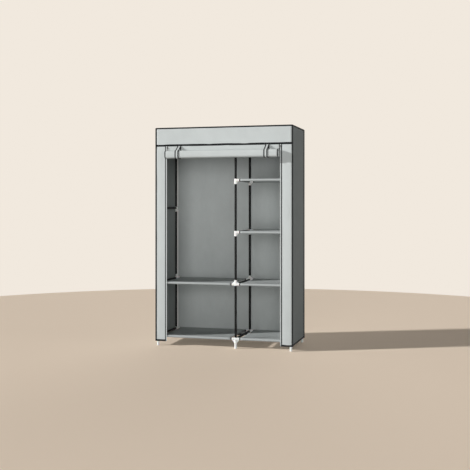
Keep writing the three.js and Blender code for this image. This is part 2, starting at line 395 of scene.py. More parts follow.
def skin_material(
    name: str,
    group: bpy.types.NodeTree,
    colour: tuple[float, float, float],
    relief: float,
    group_values: dict[str, float],
    shader_values: dict[str, float],
) -> bpy.types.Material:
    """A material whose colour, roughness and bump come from a shared group.

    Args:
        name: the material's name.
        group: the shader group.
        colour: the linear base colour.
        relief: height of the bump, in metres.
        group_values: the group's inputs by name.
        shader_values: the shader's own inputs by name.

    Returns:
        The material.
    """
    material = bpy.data.materials.new(name)
    material.use_nodes = True
    graph = Graph(material.node_tree)
    place = graph.add("TexCoord").outputs["Object"]
    effect = graph.tree.nodes.new("ShaderNodeGroup")
    effect.node_tree = group
    graph.link(place, effect.inputs["Vector"])
    effect.inputs["Color"].default_value = (*colour, 1.0)
    for socket, value in group_values.items():
        effect.inputs[socket].default_value = value
    bump = graph.add("Bump", Strength=1.0, Distance=relief, Height=effect.outputs["Height"])
    shader = graph.add("BsdfPrincipled", Base_Color=effect.outputs["Color"],
                       Roughness=effect.outputs["Roughness"], Normal=bump.outputs["Normal"])
    for socket, value in shader_values.items():
        shader.inputs[socket].default_value = value
    graph.add("OutputMaterial", Surface=shader.outputs["BSDF"])
    material.diffuse_color = (*colour, 1.0)
    return material


class Finishes:
    """Every material of the wardrobe."""

    def __init__(self) -> None:
        """Builds the shared groups and the materials."""
        effects = Effects()
        self.front = ClothFinish("front cloth", (0.56, 0.59, 0.58)).build(effects)
        # The sides and the top are painted darker than the front cloth: painted shade on the same grey cloth
        self.side = ClothFinish("side and top painted shade", (0.178, 0.196, 0.193), 0.12).build(effects)
        self.back = ClothFinish("back cloth", (0.55, 0.58, 0.57), 0.14).build(effects)
        # The inner faces of the sides and the top: painted shade, a little lighter than the outer sides
        self.painted_inner_shade = ClothFinish("inner faces painted shade", (0.25, 0.27, 0.265), 0.1).build(effects)
        self.shelf = ClothFinish("shelf cloth", (0.42, 0.445, 0.44), 0.1).build(effects)
        # Pale strips beside the rear uprights: a painted highlight of the uprights, not a real tape
        self.painted_highlight_strip = ClothFinish("painted highlight strip", (0.93, 0.92, 0.89), 0.05, 1400.0, 0.0001).build(effects)
        self.binding = ClothFinish(
            "black binding", (0.012, 0.013, 0.014), 0.2, 1400.0, 0.0001
        ).build(effects)
        self.thread = SkinFinish("thread", (0.05, 0.055, 0.055), 0.6).build(effects)
        self.pale_thread = SkinFinish("pale thread", (0.42, 0.44, 0.43), 0.6).build(effects)
        self.tube = SkinFinish("coated tube", (0.005, 0.0055, 0.006), 0.38, specular=0.12).build(effects)
        self.plastic = SkinFinish("white plastic", (0.89, 0.89, 0.87), 0.3, 0.15, 140.0, 0.00006,
                                  scatter=0.08).build(effects)
        self.zip_coil = SkinFinish("zip coil", (0.5, 0.52, 0.51), 0.35).build(effects)
        self.zip_metal = SkinFinish("zip slider", (0.018, 0.019, 0.02), 0.25, coat=0.5).build(effects)


# Mesh tools


def place_from(centre: Vector, heading: Vector, upright: Vector) -> Matrix:
    """A placing matrix whose third axis points along a heading.

    Args:
        centre: where the origin goes.
        heading: direction of the third axis.
        upright: direction that the second axis leans to.

    Returns:
        The 4x4 matrix.
    """
    third = heading.normalized()
    first = upright.cross(third).normalized()
    second = third.cross(first)
    matrix = Matrix((first, second, third)).transposed().to_4x4()
    matrix.translation = centre
    return matrix


def piece_from(
    mesh: bmesh.types.BMesh,
    name: str,
    materials: Sequence[bpy.types.Material],
    sharp_degrees: float = HARD_CREASE,
) -> bpy.types.Object:
    """Turns a bmesh into a smooth-shaded object at the origin.

    Args:
        mesh: the finished bmesh, which is freed.
        name: the piece's name.
        materials: its materials, in the order of its faces' indices.
        sharp_degrees: an edge that turns more than this stays crisp.

    Returns:
        The new object.
    """
    for face in mesh.faces:
        face.smooth = True
    limit = math.radians(sharp_degrees)
    for edge in mesh.edges:
        edge.smooth = not (edge.is_manifold and edge.calc_face_angle(0.0) > limit)
    data = bpy.data.meshes.new(name)
    mesh.to_mesh(data)
    mesh.free()
    for material in materials:
        data.materials.append(material)
    piece = bpy.data.objects.new(name, data)
    bpy.context.scene.collection.objects.link(piece)
    return piece


def thicken(piece: bpy.types.Object, thickness: float = CLOTH_THICKNESS, inner_face_differs: bool = False) -> None:
    """Gives a sheet its thickness with a Solidify modifier.

    Args:
        piece: the sheet.
        thickness: the cloth's thickness.
        inner_face_differs: True grows it inwards and gives its inner face the next material, its painted
            shade.
    """
    solidify = piece.modifiers.new("cloth thickness", "SOLIDIFY")
    solidify.thickness = thickness
    solidify.offset = -1.0 if inner_face_differs else 0.0
    solidify.material_offset = 1 if inner_face_differs else 0


def applied(piece: bpy.types.Object) -> bpy.types.Mesh:
    """The piece's mesh with its modifiers applied."""
    graph = bpy.context.evaluated_depsgraph_get()
    return bpy.data.meshes.new_from_object(piece.evaluated_get(graph))


def mount(
    piece: bpy.types.Object, *nodes: str, slot: Optional[Slot] = None, body: str = "root"
) -> bpy.types.Object:
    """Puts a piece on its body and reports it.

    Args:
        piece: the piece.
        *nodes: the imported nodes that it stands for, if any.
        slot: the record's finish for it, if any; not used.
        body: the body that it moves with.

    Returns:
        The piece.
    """
    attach(piece, body)
    if nodes:
        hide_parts(*nodes)
    LOG.info("%s rides on %s", piece.name, body)
    return piece


def upright_for(way: Vector) -> Vector:
    """The direction to hold a section by on its way: up, or X where the way itself goes up."""
    return ALONG_X if abs(way.normalized().dot(ALONG_Z)) > NEARLY_UPRIGHT else ALONG_Z


class ClothPen:
    """Draws a line of edges, point by point, and draws that line out into a sheet."""

    def __init__(self, start: Vector) -> None:
        """Puts the pen down.

        Args:
            start: the line's first point.
        """
        self.mesh = bmesh.new()
        self.tip = self.mesh.verts.new(start)
        self.length = 0.0

    def line(self, end: Vector, steps: int = 1) -> "ClothPen":
        """Draws a straight stretch.

        Args:
            end: where the stretch ends.
            steps: number of edges in it.

        Returns:
            This pen.
        """
        step = (Vector(end) - self.tip.co) / steps
        self.length += step.length * steps
        grown = bmesh.ops.spin(self.mesh, geom=[self.tip], axis=ALONG_X, dvec=step, steps=steps)
        self.tip = grown["geom_last"][0]
        return self

    def arc(self, centre: Vector, axis: Vector, angle: float, steps: int) -> "ClothPen":
        """Draws an arc about a centre.

        Args:
            centre: the arc's centre.
            axis: the axis that it turns about.
            angle: how far it turns, in radians.
            steps: number of edges in it.

        Returns:
            This pen.
        """
        self.length += (self.tip.co - Vector(centre)).length * abs(angle)
        grown = bmesh.ops.spin(self.mesh, geom=[self.tip], cent=centre, axis=axis, angle=angle, steps=steps)
        self.tip = grown["geom_last"][0]
        return self

    def draw_out(self, along: Vector, steps: int) -> bmesh.types.BMesh:
        """Sweeps the whole line into a sheet.

        Args:
            along: how far and which way.
            steps: number of rows of faces.

        Returns:
            The sheet's bmesh.
        """
        line = self.mesh.verts[:] + self.mesh.edges[:]
        bmesh.ops.spin(self.mesh, geom=line, axis=ALONG_X, dvec=along / steps, steps=steps)
        return self.mesh


class TapeRun:
    """A tape or bar drawn along a route from an oval section, with closed ends."""

    def __init__(
        self, start: Vector, heading: Vector, radii: tuple[float, float], upright: Vector, sides: int = 12
    ) -> None:
        """Makes the first section.

        Args:
            start: the section's centre.
            heading: the direction that the run sets out in.
            radii: half the section's width across, and along the upright direction.
            upright: the direction that the second radius lies along.
            sides: number of points in the section.
        """
        self.mesh = bmesh.new()
        matrix = place_from(start, heading, upright) @ Matrix.Diagonal((*radii, 1.0, 1.0))
        ring = bmesh.ops.create_circle(self.mesh, cap_ends=False, radius=1.0, segments=sides, matrix=matrix)
        self.ring = ring["verts"] + self.mesh.edges[:]
        self.first = self.mesh.edges[:]

    def straight(self, along: Vector, steps: int = 1) -> "TapeRun":
        """Draws a straight stretch.

        Args:
            along: how far and which way.
            steps: number of rows of faces.

        Returns:
            This run.
        """
        grown = bmesh.ops.spin(self.mesh, geom=self.ring, axis=ALONG_X, dvec=along / steps, steps=steps)
        self.ring = grown["geom_last"]
        return self

    def turn(self, centre: Vector, axis: Vector, angle: float, steps: int = 4) -> "TapeRun":
        """Turns a corner.

        Args:
            centre: the point that it turns about.
            axis: the axis that it turns about.
            angle: how far it turns, in radians.
            steps: number of rows of faces.

        Returns:
            This run.
        """
        grown = bmesh.ops.spin(self.mesh, geom=self.ring, cent=centre, axis=axis, angle=angle, steps=steps)
        self.ring = grown["geom_last"]
        return self

    def finish(self, closed: bool = False) -> bmesh.types.BMesh:
        """Closes the run.

        Args:
            closed: True welds the last section to the first, False caps both ends.

        Returns:
            The run's bmesh.
        """
        if closed:
            bmesh.ops.remove_doubles(self.mesh, verts=self.mesh.verts[:], dist=RUN_WELD)
        else:
            last = [part for part in self.ring if isinstance(part, bmesh.types.BMEdge)]
            bmesh.ops.edgeloop_fill(self.mesh, edges=self.first)
            bmesh.ops.edgeloop_fill(self.mesh, edges=last)
        bmesh.ops.recalc_face_normals(self.mesh, faces=self.mesh.faces[:])
        return self.mesh


def turned(outline: Sequence[tuple[float, float]], place: Matrix, sides: int = 32) -> bmesh.types.BMesh:
    """Turns a closed outline into a ring-shaped solid.

    Args:
        outline: radius and height of each point of the section, which closes on itself.
        place: where the solid goes; its axis is the third one.
        sides: number of faces round it.

    Returns:
        The solid's bmesh.
    """
    mesh = bmesh.new()
    verts = [mesh.verts.new((radius, 0.0, height)) for radius, height in outline]
    for first, second in zip(verts, verts[1:] + verts[:1]):
        if first.co.x > 0.0 or second.co.x > 0.0:
            mesh.edges.new((first, second))
    section = mesh.verts[:] + mesh.edges[:]
    bmesh.ops.spin(mesh, geom=section, axis=ALONG_Z, angle=FULL_TURN, steps=sides, use_merge=True)
    bmesh.ops.remove_doubles(mesh, verts=mesh.verts[:], dist=WELD)
    bmesh.ops.transform(mesh, matrix=place, verts=mesh.verts[:])
    bmesh.ops.recalc_face_normals(mesh, faces=mesh.faces[:])
    return mesh


def join(target: bmesh.types.BMesh, *others: bmesh.types.BMesh) -> bmesh.types.BMesh:
    """Adds other bmeshes to one, and frees them.

    Args:
        target: the bmesh that takes them.
        *others: the ones to add.

    Returns:
        The target.
    """
    for other in others:
        data = bpy.data.meshes.new("joined part")
        other.to_mesh(data)
        other.free()
        target.from_mesh(data)
        bpy.data.meshes.remove(data)
    return target


def tube_between(
    name: str,
    start: Vector,
    end: Vector,
    radius: float,
    material: bpy.types.Material,
) -> bpy.types.Object:
    """A hollow round tube with slightly rounded rims.

    Args:
        name: the piece's name.
        start: centre of one end.
        end: centre of the other end.
        radius: outer radius.
        material: its finish.

    Returns:
        The tube.
    """
    way = end - start
    rim = TUBE_WALL * RIM_SHARE
    bore = radius - TUBE_WALL
    outline = [
        (bore, rim), (bore + rim, 0.0), (radius - rim, 0.0), (radius, rim),
        (radius, way.length - rim), (radius - rim, way.length), (bore + rim, way.length),
        (bore, way.length - rim),
    ]
    mesh = turned(outline, place_from(start, way, upright_for(way)), 36)
    return piece_from(mesh, name, [material])


def stitches(
    route: Callable[[float], tuple[Vector, Vector]],
    length: float,
    pitch: float = 0.0055,
    stitch: float = 0.0034,
    thread: float = 0.00032,
) -> bmesh.types.BMesh:
    """A row of stitches along a route.

    Args:
        route: gives the place and the direction at a distance along the row.
        length: how long the row is.
        pitch: distance from one stitch to the next.
        stitch: length of a stitch.
        thread: radius of the thread.

    Returns:
        The row's bmesh.
    """
    mesh = bmesh.new()
    count = max(int(length / pitch), 1)
    for index in range(count):
        centre, along = route((index + 0.5) * length / count)
        size = Matrix.Diagonal((thread, thread, stitch / 2, 1.0))
        place = place_from(centre, along, upright_for(along)) @ size
        bmesh.ops.create_icosphere(mesh, subdivisions=1, radius=1.0, matrix=place)
    return mesh


def stitched(start: Vector, end: Vector) -> bmesh.types.BMesh:
    """A straight row of stitches.

    Args:
        start: where it starts.
        end: where it ends.

    Returns:
        The row's bmesh.
    """
    way = end - start
    return stitches(lambda distance: (start + way * (distance / way.length), way), way.length)


def rounded_block(
    centre: Vector,
    size: tuple[float, float, float],
    radius: float,
    segments: int,
    foot_share: float = 1.0,
) -> bmesh.types.BMesh:
    """A block with rounded edges.

    Args:
        centre: its middle.
        size: its width, depth and height.
        radius: how far from an edge the rounding starts.
        segments: number of faces across the rounding.
        foot_share: its width at the foot, as a share of the width at the top.

    Returns:
        The block's bmesh.
    """
    mesh = bmesh.new()
    place = Matrix.Translation(centre) @ Matrix.Diagonal((*size, 1.0))
    bmesh.ops.create_cube(mesh, size=1.0, matrix=place)
    for vert in mesh.verts:
        if vert.co.z < centre.z:
            vert.co.x = centre.x + (vert.co.x - centre.x) * foot_share
    bmesh.ops.bevel(
        mesh, geom=mesh.edges[:] + mesh.verts[:], offset=radius, segments=segments, profile=0.5,
        affect="EDGES", material=-1,
    )
    return mesh


@dataclass(frozen=True)
class Crumple:
    """Soft unevenness of a cloth: how deep, how long its waves are, and where its pattern starts."""

    depth: float
    wave: tuple[float, float, float]
    start: float

    def at(self, point: Vector, further: float = 0.0) -> float:
        """How far the cloth stands off its plane at a point.

        Args:
            point: the point on the flat cloth.
            further: how much later this piece's pattern starts.

        Returns:
            The distance, either way.
        """
        start = self.start + further
        scaled = Vector([value / wave for value, wave in zip(point, self.wave)])
        scaled += Vector([start * share for share in NOISE_SHIFT])
        fine = noise.noise(scaled * FINE_SCALE + FINE_SHIFT)
        return self.depth * (noise.noise(scaled) + FINE_SHARE * fine)


def eased(distance: float, over: float) -> float:
    """Rises smoothly from 0 at an edge to 1 where the distance reaches a given length."""
    share = min(max(distance / over, 0.0), 1.0)
    return share * share * (3.0 - 2.0 * share)


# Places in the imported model


@dataclass
class Layout:
    """Places of the tubes and of the cover's planes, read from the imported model."""

    opening_margin: float = 0.004
    opening_shift: float = -0.0023

    def __post_init__(self) -> None:
        """Reads the boxes of the nodes."""
        self.columns = {
            name: self.centre(f"upright_front_{name}").x for name in ("left", "centre", "right")
        }
        self.rows = {name: self.centre(f"upright_{name}_centre").y for name in ("front", "rear")}
        self.levels = {
            name: self.centre(f"depth_tube_{name}_right").z
            for name in ("bottom", "lower", "mid", "upper", "top")
        }
        low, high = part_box("depth_tube_bottom_right")
        self.tube_radius = (high.x - low.x) / 2
        self.tube_reach = low.y - self.rows["front"]
        low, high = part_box("cover_header")
        self.front = (low.y + high.y) / 2
        self.flank = high.x - (high.y - low.y) / 2
        self.header_edge = low.z
        low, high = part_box("cover_top")
        self.roof = (low.z + high.z) / 2
        low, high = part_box("cover_back")
        self.rear = (low.y + high.y) / 2
        self.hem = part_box("cover_side_right")[0].z
        self.drop_low, self.drop_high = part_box("door_drop")
        self.roll_low, self.roll_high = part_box("door_roll")
        socket_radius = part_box("connector_mid_front_right")[1].z - self.levels["mid"]
        self.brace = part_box("side_brace_left")[1].z - socket_radius
        self.opening_half = self.drop_high.x + self.opening_margin

    @staticmethod
    def has_crossing(column: str, level: str) -> bool:
        """True where a level has tubes at a column: two levels have none in the left bay."""
        return column != "left" or level not in ("mid", "upper")

    def opening_edge(self, side: Side) -> float:
        """X of a front strip's edge. The sewn opening sits a little left of the middle."""
        return self.opening_shift + side.value * self.opening_half

    @staticmethod
    def centre(node: str) -> Vector:
        """The middle of a node's box."""
        low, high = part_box(node)
        return (low + high) / 2


# Sub-assemblies


@dataclass
class Cover:
    """The sewn cover: two sides, two front strips, back, top and header, with black bound seams."""

    layout: Layout
    finishes: Finishes
    side_waves: Crumple = Crumple(0.0022, (0.35, 0.11, 0.5), 3.1)
    back_waves: Crumple = Crumple(0.0034, (0.1, 0.3, 0.34), 7.7)
    top_waves: Crumple = Crumple(0.0016, (0.2, 0.16, 0.3), 12.4)
    header_waves: Crumple = Crumple(0.0018, (0.13, 0.2, 0.16), 21.3)
    strip_waves: Crumple = Crumple(0.0012, (0.2, 0.2, 0.12), 31.0)
    back_hold: float = 0.04
    header_hold: float = 0.02
    cloth_step: float = 0.016
    corner_radius: float = 0.003
    strip_fold: float = 0.0009
    strip_belly: float = 0.0016
    strip_hold: float = 0.03
    strip_thickness: float = 0.0006
    seam_radii: tuple[float, float] = (0.0034, 0.0054)
    rear_seam_share: float = 0.85
    seam_lean: float = 0.35
    seam_out: float = 0.001
    seam_stitches_out: float = 0.0016
    seam_stitch_share: float = 0.98
    top_seam_radii: tuple[float, float] = (0.0026, 0.0062)
    top_seam_lean: float = 0.3
    top_seam_drop: float = 0.0036
    top_stitch_share: float = 1.05
    tape_half_width: float = 0.0071
    tape_half_height: float = 0.0014
    hem_lift_share: float = 0.9
    hem_stitch_share: float = 0.9
    header_tape_half_width: float = 0.0085
    header_tape_lift: float = 0.0058
    header_stitch_share: float = 0.85
    header_row_share: float = 0.45
    end_gap: float = 0.001
    zip_tape_centre: float = 0.0105
    zip_tape_half_width: float = 0.0040
    zip_tape_half_thickness: float = 0.0011
    zip_tape_out: float = 0.0006
    zip_stitches_out: float = 0.001
    coil_inwards: float = 0.0006
    coil_out: float = 0.0014
    coil_end_gap: float = 0.003
    tooth_pitch: float = 0.0021
    tooth_length: float = 0.0034
    tooth_radius: float = 0.0007
    # Black strips of painted shade in the rear corners, beside the uprights
    corner_shade_radii: tuple[float, float] = (0.0009, 0.006)
    corner_shade_inwards: float = 0.0018
    corner_shade_forwards: float = 0.008
    corner_shade_short: float = 0.004
    # Pale strips of painted highlight beside the rear uprights
    corner_painted_highlight_radii: tuple[float, float] = (0.0058, 0.0008)
    corner_painted_highlight_inwards: float = 0.0123
    corner_painted_highlight_forwards: float = 0.011
    corner_painted_highlight_clear: float = 0.0115

    def panel(
        self,
        name: str,
        low: Vector,
        high: Vector,
        waves: Crumple,
        materials: Sequence[bpy.types.Material],
        node: str,
        slot: Slot,
        further: float = 0.0,
        hold: float = 0.05,
    ) -> None:
        """Makes a flat panel of cloth with soft unevenness that dies out at its seams.

        Args:
            name: the piece's name.
            low: its lowest corner; it is flat along the axis where low and high agree.
            high: its highest corner.
            waves: the unevenness.
            materials: its finish, and that of its inner face if it differs.
            node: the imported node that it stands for.
            slot: the record's finish.
            further: how much later its unevenness starts than that of its like.
            hold: how far from a seam the cloth gives in full.
        """
        span = high - low
        flat = min(range(3), key=lambda axis: span[axis])
        across, upwards = [axis for axis in range(3) if axis != flat]
        counts = [max(round(span[axis] / self.cloth_step), 2) for axis in (across, upwards)]
        mesh = bmesh.new()
        bmesh.ops.create_grid(mesh, x_segments=counts[0], y_segments=counts[1], size=0.5)
        centre = (low + high) / 2
        for vert in mesh.verts:
            place = centre.copy()
            place[across] += vert.co.x * span[across]
            place[upwards] += vert.co.y * span[upwards]
            edge = min(min(place[axis] - low[axis], high[axis] - place[axis]) for axis in (across, upwards))
            place[flat] += waves.at(place, further) * eased(edge, hold)
            vert.co = place
        mesh.normal_update()
        outwards = Vector((0.0, 0.0, 0.0))
        outwards[flat] = 1.0 if centre[flat] > 0.0 else -1.0
        mesh.faces.ensure_lookup_table()
        if mesh.faces[0].normal.dot(outwards) < 0.0:
            bmesh.ops.reverse_faces(mesh, faces=mesh.faces[:])
        piece = piece_from(mesh, name, materials)
        thicken(piece, inner_face_differs=len(materials) > 1)
        mount(piece, node, slot=slot)

    def panels(self) -> None:
        """Makes the sides and top, painted dark with shade, the back, which hangs a little loose, and the
        light header.
        """
        place, look = self.layout, self.finishes
        flank, front, rear, hem, roof = place.flank, place.front, place.rear, place.hem, place.roof
        for side in Side:
            x = side.value * flank
            self.panel(
                f"side_cloth_{side.word}", Vector((x, front, hem)), Vector((x, rear, roof)),
                self.side_waves, [look.side, look.painted_inner_shade], f"cover_side_{side.word}", Slot.SIDE,
                further=side.value,
            )
        self.panel(
            "back_cloth", Vector((-flank, rear, hem)), Vector((flank, rear, roof)),
            self.back_waves, [look.back], "cover_back", Slot.BACK, hold=self.back_hold,
        )
        # The top takes the sides' painted shade
        self.panel(
            "top_cloth", Vector((-flank, front, roof)), Vector((flank, rear, roof)),
            self.top_waves, [look.side, look.painted_inner_shade], "cover_top", Slot.SIDE,
        )
        self.panel(
            "header_cloth", Vector((-flank, front, place.header_edge)), Vector((flank, front, roof)),
            self.header_waves, [look.front], "cover_header", Slot.FRONT, hold=self.header_hold,
        )

    def strips(self) -> None:
        """Makes the two light front strips, each with a folded edge along the door."""
        place = self.layout
        fold, half_tape = self.strip_fold, self.zip_tape_half_width
        height = place.header_edge - place.hem
        for side in Side:
            sign = side.value
            edge = place.opening_edge(side)
            tape = edge + sign * self.zip_tape_centre
            inner = Vector((edge + sign * fold, place.front - fold, place.hem))
            pen = ClothPen(Vector((sign * place.flank, place.front, place.hem)))
            pen.line(Vector((tape, place.front, place.hem)), 8)
            pen.line(Vector((tape - sign * half_tape, place.front - fold, place.hem)), 2)
            pen.line(inner, 2)
            pen.arc(inner + ALONG_Y * fold, ALONG_Z, -sign * math.pi, 6)
            pen.line(Vector((tape - sign * half_tape, place.front + fold, place.hem)), 2)
            mesh = pen.draw_out(ALONG_Z * height, round(height / self.cloth_step))
            width = place.flank - abs(edge)
            for vert in mesh.verts:
                share = min(max((abs(vert.co.x) - abs(tape)) / (width - self.zip_tape_centre), 0.0), 1.0)
                ends = eased(min(vert.co.z - place.hem, place.header_edge - vert.co.z), self.strip_hold)
                give = self.strip_belly + self.strip_waves.at(vert.co, sign)
                vert.co.y -= math.sin(math.pi * share) * ends * give
            bmesh.ops.recalc_face_normals(mesh, faces=mesh.faces[:])
            piece = piece_from(mesh, f"front_strip_{side.word}", [self.finishes.front], CLOTH_CREASE)
            thicken(piece, self.strip_thickness)
            mount(piece, f"cover_side_{side.word}", slot=Slot.FRONT)

    def binding(self, run: bmesh.types.BMesh, rows: Sequence[bmesh.types.BMesh], name: str) -> None:
        """Makes a bound seam from its tape and its stitches.

        Args:
            run: the tape.
            rows: its rows of stitches.
            name: the piece's name.
        """
        sewn = join(bmesh.new(), *rows)
        for face in sewn.faces:
            face.material_index = 1
        mount(piece_from(join(run, sewn), name, [self.finishes.binding, self.finishes.thread]))

    def upright_seams(self) -> None:
        """Binds the four upright corners."""
        place = self.layout
        climb = ALONG_Z * (place.roof - place.hem)
        for side in Side:
            for row, y, share in (("front", place.front, 1.0), ("rear", place.rear, self.rear_seam_share)):
                facing = -self.seam_lean if row == "front" else self.seam_lean
                outwards = Vector((side.value, facing, 0.0)).normalized()
                start = Vector((side.value * place.flank, y, place.hem)) + outwards * self.seam_out
                radii = (self.seam_radii[0] * share, self.seam_radii[1] * share)
                mesh = TapeRun(start, ALONG_Z, radii, outwards).straight(climb, 60).finish()
                beside = math.copysign(radii[0] * self.seam_stitch_share, facing)
                begin = start + outwards * self.seam_stitches_out + ALONG_Y * beside
                self.binding(mesh, [stitched(begin, begin + climb)], f"seam_{row}_{side.word}")

    def top_seam(self) -> None:
        """Binds the rectangle of seams round the top panel."""
        place = self.layout
        radius = self.corner_radius
        x, front, rear = place.flank, place.front, place.rear
        z = place.roof - self.top_seam_drop
        lean = Vector((0.0, -self.top_seam_lean, 1.0)).normalized()
        run = TapeRun(Vector((-x + radius, front, z)), ALONG_X, self.top_seam_radii, lean)
        width, depth = 2 * (x - radius), rear - front - 2 * radius
        rows = []
        for step, corner, outwards in (
            (ALONG_X * width, Vector((x, front, z)), -ALONG_Y),
            (ALONG_Y * depth, Vector((x, rear, z)), ALONG_X),
            (-ALONG_X * width, Vector((-x, rear, z)), ALONG_Y),
            (-ALONG_Y * depth, Vector((-x, front, z)), -ALONG_X),
        ):
            centre = corner - (step.normalized() + outwards) * radius
            run.straight(step, 24).turn(centre, ALONG_Z, QUARTER_TURN)
            begin = corner - step + outwards * (self.top_seam_radii[0] * self.top_stitch_share)
            rows.append(stitched(begin, begin + step))
        self.binding(run.finish(closed=True), rows, "seam_top")

    def header_seam(self) -> None:
        """Binds the header's lower edge from corner to corner."""
        place = self.layout
        half = self.header_tape_half_width
        start = Vector((-place.flank, place.front, place.header_edge + self.header_tape_lift))
        way = ALONG_X * 2 * place.flank
        mesh = TapeRun(start, ALONG_X, (self.tape_half_height, half), ALONG_Z).straight(way, 80).finish()
        face = start - ALONG_Y * self.tape_half_height * self.header_stitch_share
        lifts = (-half * self.header_row_share, half * self.header_row_share)
        rows = [stitched(face + ALONG_Z * lift, face + ALONG_Z * lift + way) for lift in lifts]
        self.binding(mesh, rows, "seam_header")

    def hems(self) -> None:
        """Binds the lower edge, from one front strip round the back to the other."""
        place = self.layout
        half, radius = self.tape_half_width, self.corner_radius
        inset = self.zip_tape_centre - self.zip_tape_half_width
        right = place.opening_edge(Side.RIGHT) + inset
        left = place.opening_edge(Side.LEFT) - inset
        z = place.hem + half * self.hem_lift_share
        x, front, rear = place.flank, place.front, place.rear
        depth = rear - front - 2 * radius
        run = TapeRun(Vector((right, front, z)), ALONG_X, (self.tape_half_height, half), ALONG_Z)
        for along, steps, centre in (
            (ALONG_X * (x - radius - right), 8, Vector((x - radius, front + radius, z))),
            (ALONG_Y * depth, 30, Vector((x - radius, rear - radius, z))),
            (-ALONG_X * 2 * (x - radius), 70, Vector((-x + radius, rear - radius, z))),
            (-ALONG_Y * depth, 30, Vector((-x + radius, front + radius, z))),
        ):
            run.straight(along, steps).turn(centre, ALONG_Z, QUARTER_TURN)
        run.straight(ALONG_X * (left + x - radius), 8)
        out = self.tape_half_height * self.hem_stitch_share
        rows = [
            stitched(Vector((*begin, z)), Vector((*end, z)))
            for begin, end in (
                ((right, front - out), (x, front - out)),
                ((x + out, front), (x + out, rear)),
                ((x, rear + out), (-x, rear + out)),
                ((-x - out, rear), (-x - out, front)),
                ((-x, front - out), (left, front - out)),
            )
        ]
        self.binding(run.finish(), rows, "seam_hem")

    def zips(self) -> None:
        """Makes the black zip tapes on the strips and the coils along their edges."""
        place = self.layout
        height = place.header_edge - place.hem
        climb = ALONG_Z * (height - 2 * self.end_gap)
        radii = (self.zip_tape_half_width, self.zip_tape_half_thickness)
        for side in Side:
            edge = place.opening_edge(side)
            start = Vector((
                edge + side.value * self.zip_tape_centre, place.front - self.zip_tape_out,
                place.hem + self.end_gap,
            ))
            mesh = TapeRun(start, ALONG_Z, radii, ALONG_Y, 10).straight(climb, 90).finish()
            begin = start - ALONG_Y * self.zip_stitches_out
            self.binding(mesh, [stitched(begin, begin + climb)], f"zip_tape_{side.word}")
            foot = Vector((
                edge + side.value * self.coil_inwards, place.front - self.coil_out,
                place.hem + self.coil_end_gap,
            ))
            teeth = stitches(
                lambda distance, foot=foot: (foot + ALONG_Z * distance, ALONG_X),
                height - 2 * self.coil_end_gap, self.tooth_pitch, self.tooth_length, self.tooth_radius,
            )
            mount(piece_from(teeth, f"zip_coil_{side.word}", [self.finishes.zip_coil]), slot=Slot.ZIP)

    def corner_painted_shade_and_highlights(self) -> None:
        """Makes black strips of painted shade in the rear corners and pale strips of painted highlight beside
        the uprights.
        """
        place = self.layout
        climb = ALONG_Z * (place.roof - place.hem - self.corner_shade_short)
        crossed = {Side.LEFT: (place.brace,), Side.RIGHT: (place.levels["mid"], place.levels["upper"])}
        ends = [place.levels[name] for name in ("bottom", "lower", "top")]
        for side in Side:
            sign = side.value
            # A black strip of painted shade in the rear corner, up the side wall
            start = Vector((
                sign * (place.flank - self.corner_shade_inwards), place.rear - self.corner_shade_forwards,
                place.hem + self.end_gap,
            ))
            run = TapeRun(start, ALONG_Z, self.corner_shade_radii, ALONG_Y, 10).straight(climb, 60)
            self.binding(run.finish(), [], f"corner_painted_shade_{side.word}")
            # A pale strip of painted highlight beside the rear upright, between its crossings
            x = place.columns[side.word] - sign * self.corner_painted_highlight_inwards
            y = place.rows["rear"] - self.corner_painted_highlight_forwards
            levels = sorted((*ends, *crossed[side]))
            mesh = bmesh.new()
            for low, high in zip(levels, levels[1:]):
                start = Vector((x, y, low + self.corner_painted_highlight_clear))
                run = TapeRun(start, ALONG_Z, self.corner_painted_highlight_radii, ALONG_Y, 10)
                join(mesh, run.straight(ALONG_Z * (high - low - 2 * self.corner_painted_highlight_clear), 30).finish())
            mount(piece_from(mesh, f"corner_painted_highlight_{side.word}", [self.finishes.painted_highlight_strip]))

    def build(self) -> None:
        """Makes the whole cover."""
        self.panels()
        self.strips()
        self.upright_seams()
        self.top_seam()
        self.header_seam()
        self.hems()
        self.zips()
        self.corner_painted_shade_and_highlights()


